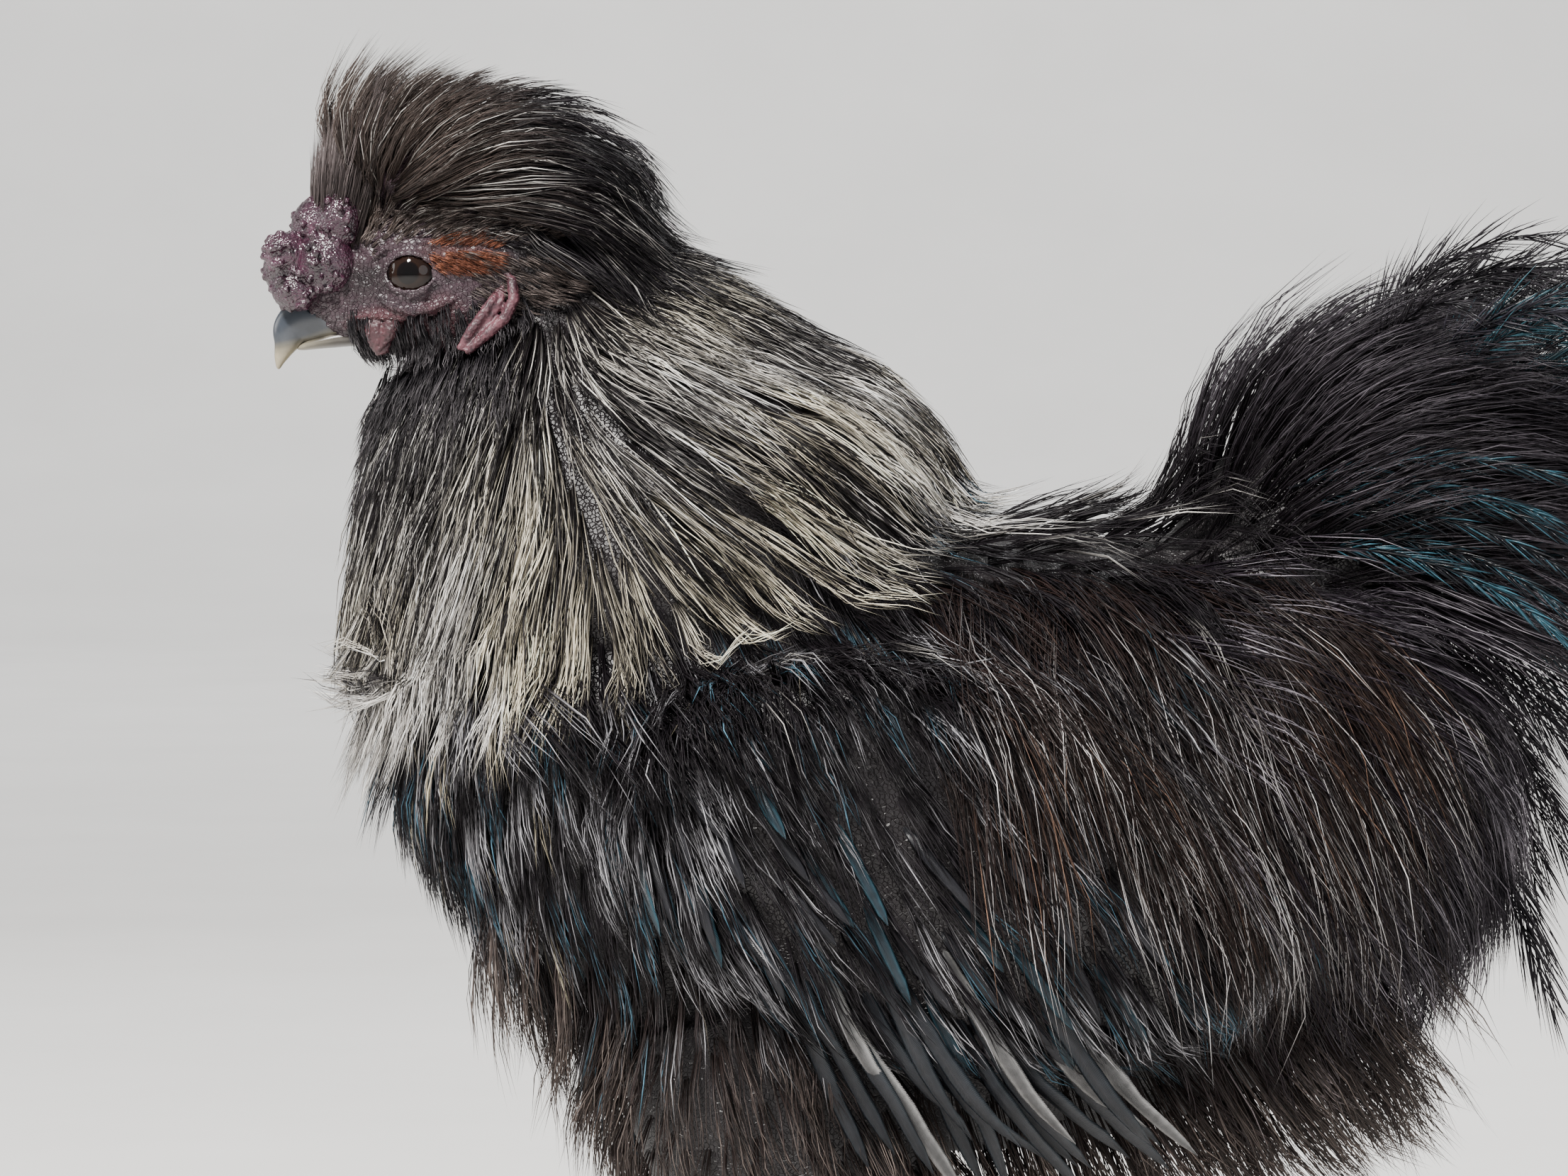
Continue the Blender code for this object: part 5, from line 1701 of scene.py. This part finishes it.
def barbed(name, slot, tufts, per_side, reach, width, slant, look, paint):
    """Loose-webbed feathers: a tapering shaft, with barbs on both sides that bend towards its tip."""
    points, normals, sides, spots, roots, sizes = tufts.arrays()
    count = len(points)
    dark, pale, amount, _, differ = look(roots)
    barbs = per_side * 2
    sign = np.where(np.arange(barbs) % 2, 1.0, -1.0)[None]
    s = (np.arange(barbs) // 2 + rng.uniform(0, 1, (count, barbs))) / per_side * 0.93 + 0.05
    (base, up, side), (own, index) = taken((points, normals, sides), s)
    ahead = points[own, index + 1] - points[own, index]
    ahead /= np.linalg.norm(ahead, axis=2, keepdims=True)
    angle = np.radians(slant * (1 - 0.65 * s) + rng.uniform(-6, 6, s.shape))
    shape = 0.65 + 0.35 * np.sin(math.pi * np.minimum(1, s + 0.1))
    long = reach * sizes[:, None] * shape * rng.uniform(0.7, 1.2, s.shape)
    steps = np.linspace(0, 1, BARB_SEGMENTS + 1)
    t = steps[None, None, :, None]
    out = ahead * np.cos(angle)[..., None] + side * (np.sin(angle) * sign)[..., None]
    out = out + up * rng.uniform(-0.25, 0.25, (*s.shape, 1))
    middle = base[:, :, None] + (out * long[..., None])[:, :, None] * t
    middle += (ahead * long[..., None])[:, :, None] * 0.35 * t**2
    middle[..., 2] -= 0.14 * long[..., None] * t[..., 0] ** 2
    thick = width * np.interp(steps[:-1], *BARB_TAPER) * rng.uniform(0.7, 1.3, (count, barbs, 1))
    share = np.clip(amount[:, None] + rng.normal(0, 1, s.shape) * differ, 0, 1)
    paleness = share[..., None] * (0.4 + 0.6 * t[..., 0])
    hue = dark[:, None, None] + (pale - dark)[:, None, None] * paleness[..., None]
    hue = hue * rng.uniform(0.7, 1.3, (count, barbs, 1, 1))
    patch = patch_of(spots, s[..., None] - 0.5, 0.5 * sign[..., None] * t[..., 0])
    strand_mesh(name, slot, middle, side[:, :, None], up[:, :, None], thick, hue, patch, paint)
    quill = np.interp(np.linspace(0, 1, STEPS + 1)[:-1], (0, 1), QUILL_WIDTHS) * sizes[:, None]
    lines = (points, sides[:, :-1], normals[:, :-1])
    strand_mesh(name + "_shaft", slot, *lines, quill, dark[:, None] * 0.8, spots[:, None], paint)


# Steps of this share spread a run of feathers evenly over the fan.
GOLDEN = 0.618034


def tail_lines(count, least, most, lean_by):
    """Middle lines of tail feathers of these pitches, with where each roots on the unwrap."""
    table = np.array(TAIL_FAN, float)
    tufts = Tufts()
    for i in range(count):
        pitch = least + (most - least) * ((i * GOLDEN + 0.3) % 1)
        long = np.interp(pitch, table[:, 0], table[:, 1]) * rng.uniform(0.72, 1.03)
        droop = np.interp(pitch, table[:, 0], table[:, 2]) * rng.uniform(0.85, 1.15)
        lean = math.radians(np.clip(rng.normal(0, lean_by), -1.3 * lean_by, 1.3 * lean_by))
        rise = math.radians(pitch)
        level = BACK * math.cos(rise) + UP * math.sin(rise)
        heading = (level * math.cos(lean) + ACROSS * math.sin(lean)).normalized()
        spot = BODY.met_from(TAIL_ROOT, heading)
        side = ACROSS if lean >= 0 else -ACROSS
        over = (UP * math.cos(rise) - BACK * math.sin(rise)).lerp(side, 0.72)
        line = free_line(spot, heading, over, long, droop)
        place = unwrap_spot((4, 0), 0.5 + 0.4 * pitch / 110, lean + math.pi)
        tufts.add(line, place, 0.7 + 0.5 * long / 0.11)
    return tufts


def build_tail():
    barbed("tail_plumes", "tail", tail_lines(70, -66, 84, 15), 30, 0.018, 0.00044, 30, plume_look, COAT)
    barbed("tail_sickles", "tail", tail_lines(26, -6, 66, 17), 50, 0.011, 0.00062, 30, sickle_look, VANES)
    for name, side in SIDES.items():
        lines = side_lines(6, side)
        barbed("side_sickles_" + name, "tail", lines, 46, 0.009, 0.00056, 26, gloss_look, VANES)


def side_lines(count, side):
    """Middle lines of short sickles that lie on the side of the tail's root."""
    tufts = Tufts()
    for i in range(count):
        share = (i + 0.5) / count
        spot = Vector((0.070 + 0.008 * share, 0.036 * side, 0.260 - 0.020 * share))
        spot += Vector(rng.uniform(-0.002, 0.002, 3))
        rise = math.radians(22 - 26 * share)
        heading = BACK * math.cos(rise) + UP * math.sin(rise) + ACROSS * 0.22 * side
        line = free_line(spot, heading.normalized(), ACROSS * side, rng.uniform(0.056, 0.072), 44)
        tufts.add(line, unwrap_spot((4, 0), 0.3 + 0.2 * share, math.pi * (1 + 0.5 * side)))
    return tufts


def gloss_look(roots):
    """A blue-green gloss on black."""
    amount = rng.uniform(-0.3, 0.7, len(roots))
    return tones((0.006, 0.007, 0.010), (0.055, 0.190, 0.260), amount, 0.0, 0.50)


def plume_look(roots):
    """Black barbs with greyer tips, and some with a painted blue-green sheen at the tips."""
    kind = rng.random(len(roots))
    pale = either(kind < 0.15, (0.040, 0.085, 0.110), (0.070, 0.062, 0.072))
    return tones((0.006, 0.005, 0.007), pale, np.where(kind < 0.15, 0.6, 0.35), 0.0, 0.2)


def sickle_look(roots):
    """Black, with a blue-green gloss on about half of them."""
    kind = rng.random(len(roots))
    pale = either(kind < 0.5, (0.035, 0.120, 0.155), (0.040, 0.036, 0.050))
    return tones((0.007, 0.007, 0.010), pale, np.full(len(roots), 0.75), 0.0, 0.25)


# Places across a vane's web, and its width as places along it and shares of the full width.
VANE_ACROSS = (-1, -0.66, -0.33, 0, 0.33, 0.66, 1)
VANE_PROFILE = ((0, 0.12, 0.4, 0.75, 0.92, 1), (0.30, 0.75, 1.0, 0.85, 0.50, 0.04))
# Rings along a vane, and the distance from one of its barbs to the next.
VANE_RINGS = 10
BARB_STEP = 0.0009


def vanes(name, slot, tufts, width, look):
    """Closed smooth-webbed vanes with a raised shaft and slightly ragged edges."""
    points, normals, sides, spots, roots, sizes = tufts.arrays()
    count = len(points)
    dark, pale, amount, _, _ = look(roots)
    s = np.linspace(0, 1, VANE_RINGS)
    places = np.broadcast_to(s, (count, VANE_RINGS))
    (middle, up, side), _ = taken((points, normals, sides), places)
    across = np.array(VANE_ACROSS)
    profile = np.interp(s, *VANE_PROFILE)
    wide = width * sizes[:, None] * profile * rng.uniform(0.85, 1.12, (count, VANE_RINGS))
    crown = -0.22 * across**2
    top = middle[:, :, None] + side[:, :, None] * (wide[:, :, None] / 2 * across)[..., None]
    top = top + up[:, :, None] * (wide[:, :, None] * crown)[..., None]
    thick = np.where(np.abs(across) > 0.9, 0.0, np.where(across == 0, 0.0006, 0.00025))
    under = top - up[:, :, None] * thick[None, None, :, None]
    top = top + up[:, :, None] * (thick * 0.4)[None, None, :, None]
    ring = np.concatenate([top, under[:, :, 5:0:-1]], 2)
    size = ring.shape[2]
    verts = ring.reshape(count, VANE_RINGS * size, 3)
    reach = np.concatenate([across, across[5:0:-1]])
    edge = np.abs(reach)[None, None]
    share = amount[:, None, None] * (0.12 + 0.88 * edge**3) * (0.6 + 0.4 * s[None, :, None])
    hue = dark[:, None, None] + (pale - dark)[:, None, None] * share[..., None]
    patch = patch_of(spots, 0.5 * reach[None, None], s[None, :, None] - 0.5)
    quads, ends = [], []
    for r in range(VANE_RINGS - 1):
        for k in range(size):
            n = (k + 1) % size
            quads.append((r * size + k, r * size + n, (r + 1) * size + n, (r + 1) * size + k))
    for first, order in ((0, -1), ((VANE_RINGS - 1) * size, 1)):
        for k in range(1, size - 1):
            pair = (first + k, first + k + 1)
            ends.append((first, *pair[::order]))
    step = (np.arange(count) * VANE_RINGS * size)[:, None, None]
    obj = mesh_object(
        name,
        verts.reshape(-1, 3),
        (np.array(quads)[None] + step).reshape(-1, 4),
        (np.array(ends)[None] + step).reshape(-1, 3),
        hue.reshape(-1, 3),
        patch.reshape(-1, 2),
    )
    barbs = long_of(points)[:, None, None] * s[None, :, None] / BARB_STEP - 1.4 * edge * width / BARB_STEP
    set_along(obj.data, barbs.reshape(-1))
    work = bmesh.new()
    work.from_mesh(obj.data)
    bmesh.ops.recalc_face_normals(work, faces=work.faces)
    work.to_mesh(obj.data)
    work.free()
    finish(obj, VANES, slot)


def long_of(points):
    return np.linalg.norm(np.diff(points, axis=1), axis=2).sum(1)


def flight_look(roots):
    """Slate-black flights, and a few with silver edges among them."""
    kind = rng.random(len(roots)) < 0.22
    pale = either(kind, (0.58, 0.57, 0.56), (0.050, 0.066, 0.080))
    dark = either(kind, (0.018, 0.018, 0.020), (0.008, 0.008, 0.011))
    return tones(dark, pale, np.where(kind, 1.0, 0.7), 0.0, 0.0)


def covert_look(roots):
    """Black webs, a third of them with a blue or teal gloss and some greyer."""
    kind = rng.random(len(roots))
    pale = either(kind < 0.32, (0.060, 0.185, 0.250), (0.100, 0.098, 0.112))
    return tones((0.009, 0.009, 0.012), pale, np.where(kind < 0.6, 0.7, 0.2), 0.0, 0.0)


def build_flights():
    for column, (name, side) in enumerate(SIDES.items()):
        rows = mirrored(WING_ROWS, side)
        lower = (120, 162) if side > 0 else (198, 240)
        tufts = sow(rows, (column, 1), 22, (0.34, 0.66), lower, flight_lie, 0.066, 0.007, 0.2, 0.004, 0.05)
        vanes("flights_" + name, "wing_" + name, tufts, 0.0048, flight_look)
        middle = (78, 150) if side > 0 else (210, 282)
        tufts = sow(rows, (column, 1), 30, (0.10, 0.70), middle, wing_lie, 0.026, 0.0075, 0.6, 0.003, 0.22)
        vanes("glossy_coverts_" + name, "wing_" + name, tufts, 0.0036, covert_look)


# The floor runs level from its front edge to the cove, which curves up into a plain back wall.
FLOOR_FRONT = -6.0
COVE_START = 3.6
COVE_RADIUS = 1.6
COVE_STEPS = 12
WALL_TOP = 6.0
FLOOR_HALF = 9
SKY_COLOUR = (0.93, 0.95, 1.0, 1)
SKY_STRENGTH = 0.42
# The point on the bird that the lights are aimed at.
BIRD = (-0.06, 0, 0.22)
# Each light: name, place, what it points at, size, power in watts, colour.
LIGHTS = (
    ("key", (-0.75, -1.05, 1.6), BIRD, 0.30, 104, (1.0, 0.97, 0.93)),
    ("fill", (0.9, -1.6, 0.7), BIRD, 1.2, 8, (0.95, 0.97, 1.0)),
    ("rim", (0.7, 1.3, 1.3), BIRD, 0.8, 30, (1.0, 1.0, 1.0)),
    ("front", (-1.6, 0.2, 0.6), BIRD, 0.8, 9, (1.0, 0.98, 0.96)),
    ("wall", (0.0, 2.0, 2.4), (0.0, 5.2, 1.6), 1.0, 130, (1.0, 1.0, 1.0)),
)


def build_studio():
    profile = [(FLOOR_FRONT, 0.0), (COVE_START, 0.0)]
    for i in range(1, COVE_STEPS + 1):
        turn = math.pi / 2 * i / COVE_STEPS
        profile.append((COVE_START + COVE_RADIUS * math.sin(turn), COVE_RADIUS * (1 - math.cos(turn))))
    profile.append((COVE_START + COVE_RADIUS, WALL_TOP))
    verts = [(x, y, z) for y, z in profile for x in (-FLOOR_HALF, FLOOR_HALF)]
    faces = [(2 * i, 2 * i + 1, 2 * i + 3, 2 * i + 2) for i in range(len(profile) - 1)]
    floor = new_object("floor", (verts, faces))
    floor.data.shade_smooth()
    floor.data.materials.append(floor_material())
    floor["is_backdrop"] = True
    world = bpy.data.worlds.new("studio")
    bpy.context.scene.world = world
    world.use_nodes = True
    shade = world.node_tree.nodes["Background"]
    shade.inputs["Color"].default_value = SKY_COLOUR
    shade.inputs["Strength"].default_value = SKY_STRENGTH
    for name, place, target, size, power, colour in LIGHTS:
        lamp = bpy.data.lights.new(name, "AREA")
        lamp.shape = "DISK"
        lamp.size = size
        lamp.energy = power
        lamp.color = colour
        obj = bpy.data.objects.new(name, lamp)
        obj.location = Vector(place)
        obj.rotation_mode = "QUATERNION"
        obj.rotation_quaternion = (Vector(target) - obj.location).to_track_quat("-Z", "Y")
        bpy.context.scene.collection.objects.link(obj)


# The photo's middle in the model, and the width that it shows there.
VIEW_MIDDLE = Vector((-0.0628, -0.030, 0.2303))
VIEW_WIDTH = 0.398
CAMERA_AWAY = 1.7
SENSOR = 36
CAMERA_RISE = math.radians(3)


def build_camera():
    data = bpy.data.cameras.new("camera")
    data.sensor_width = SENSOR
    data.lens = SENSOR * CAMERA_AWAY / VIEW_WIDTH
    data.clip_start, data.clip_end = 0.1, 50
    camera = bpy.data.objects.new("camera", data)
    away = Vector((0, -math.cos(CAMERA_RISE), math.sin(CAMERA_RISE)))
    camera.location = VIEW_MIDDLE + SHIFT + away * CAMERA_AWAY
    camera.rotation_mode = "QUATERNION"
    camera.rotation_quaternion = (-away).to_track_quat("-Z", "Y")
    bpy.context.scene.collection.objects.link(camera)
    bpy.context.scene.camera = camera


COAT = coat_material()
VANES = vane_material()
build_camera()
build_studio()
build_skin()
build_bill()
build_comb()
build_eyes()
build_lobes()
build_claws()
build_coat()
build_tail()
build_flights()

low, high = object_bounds()
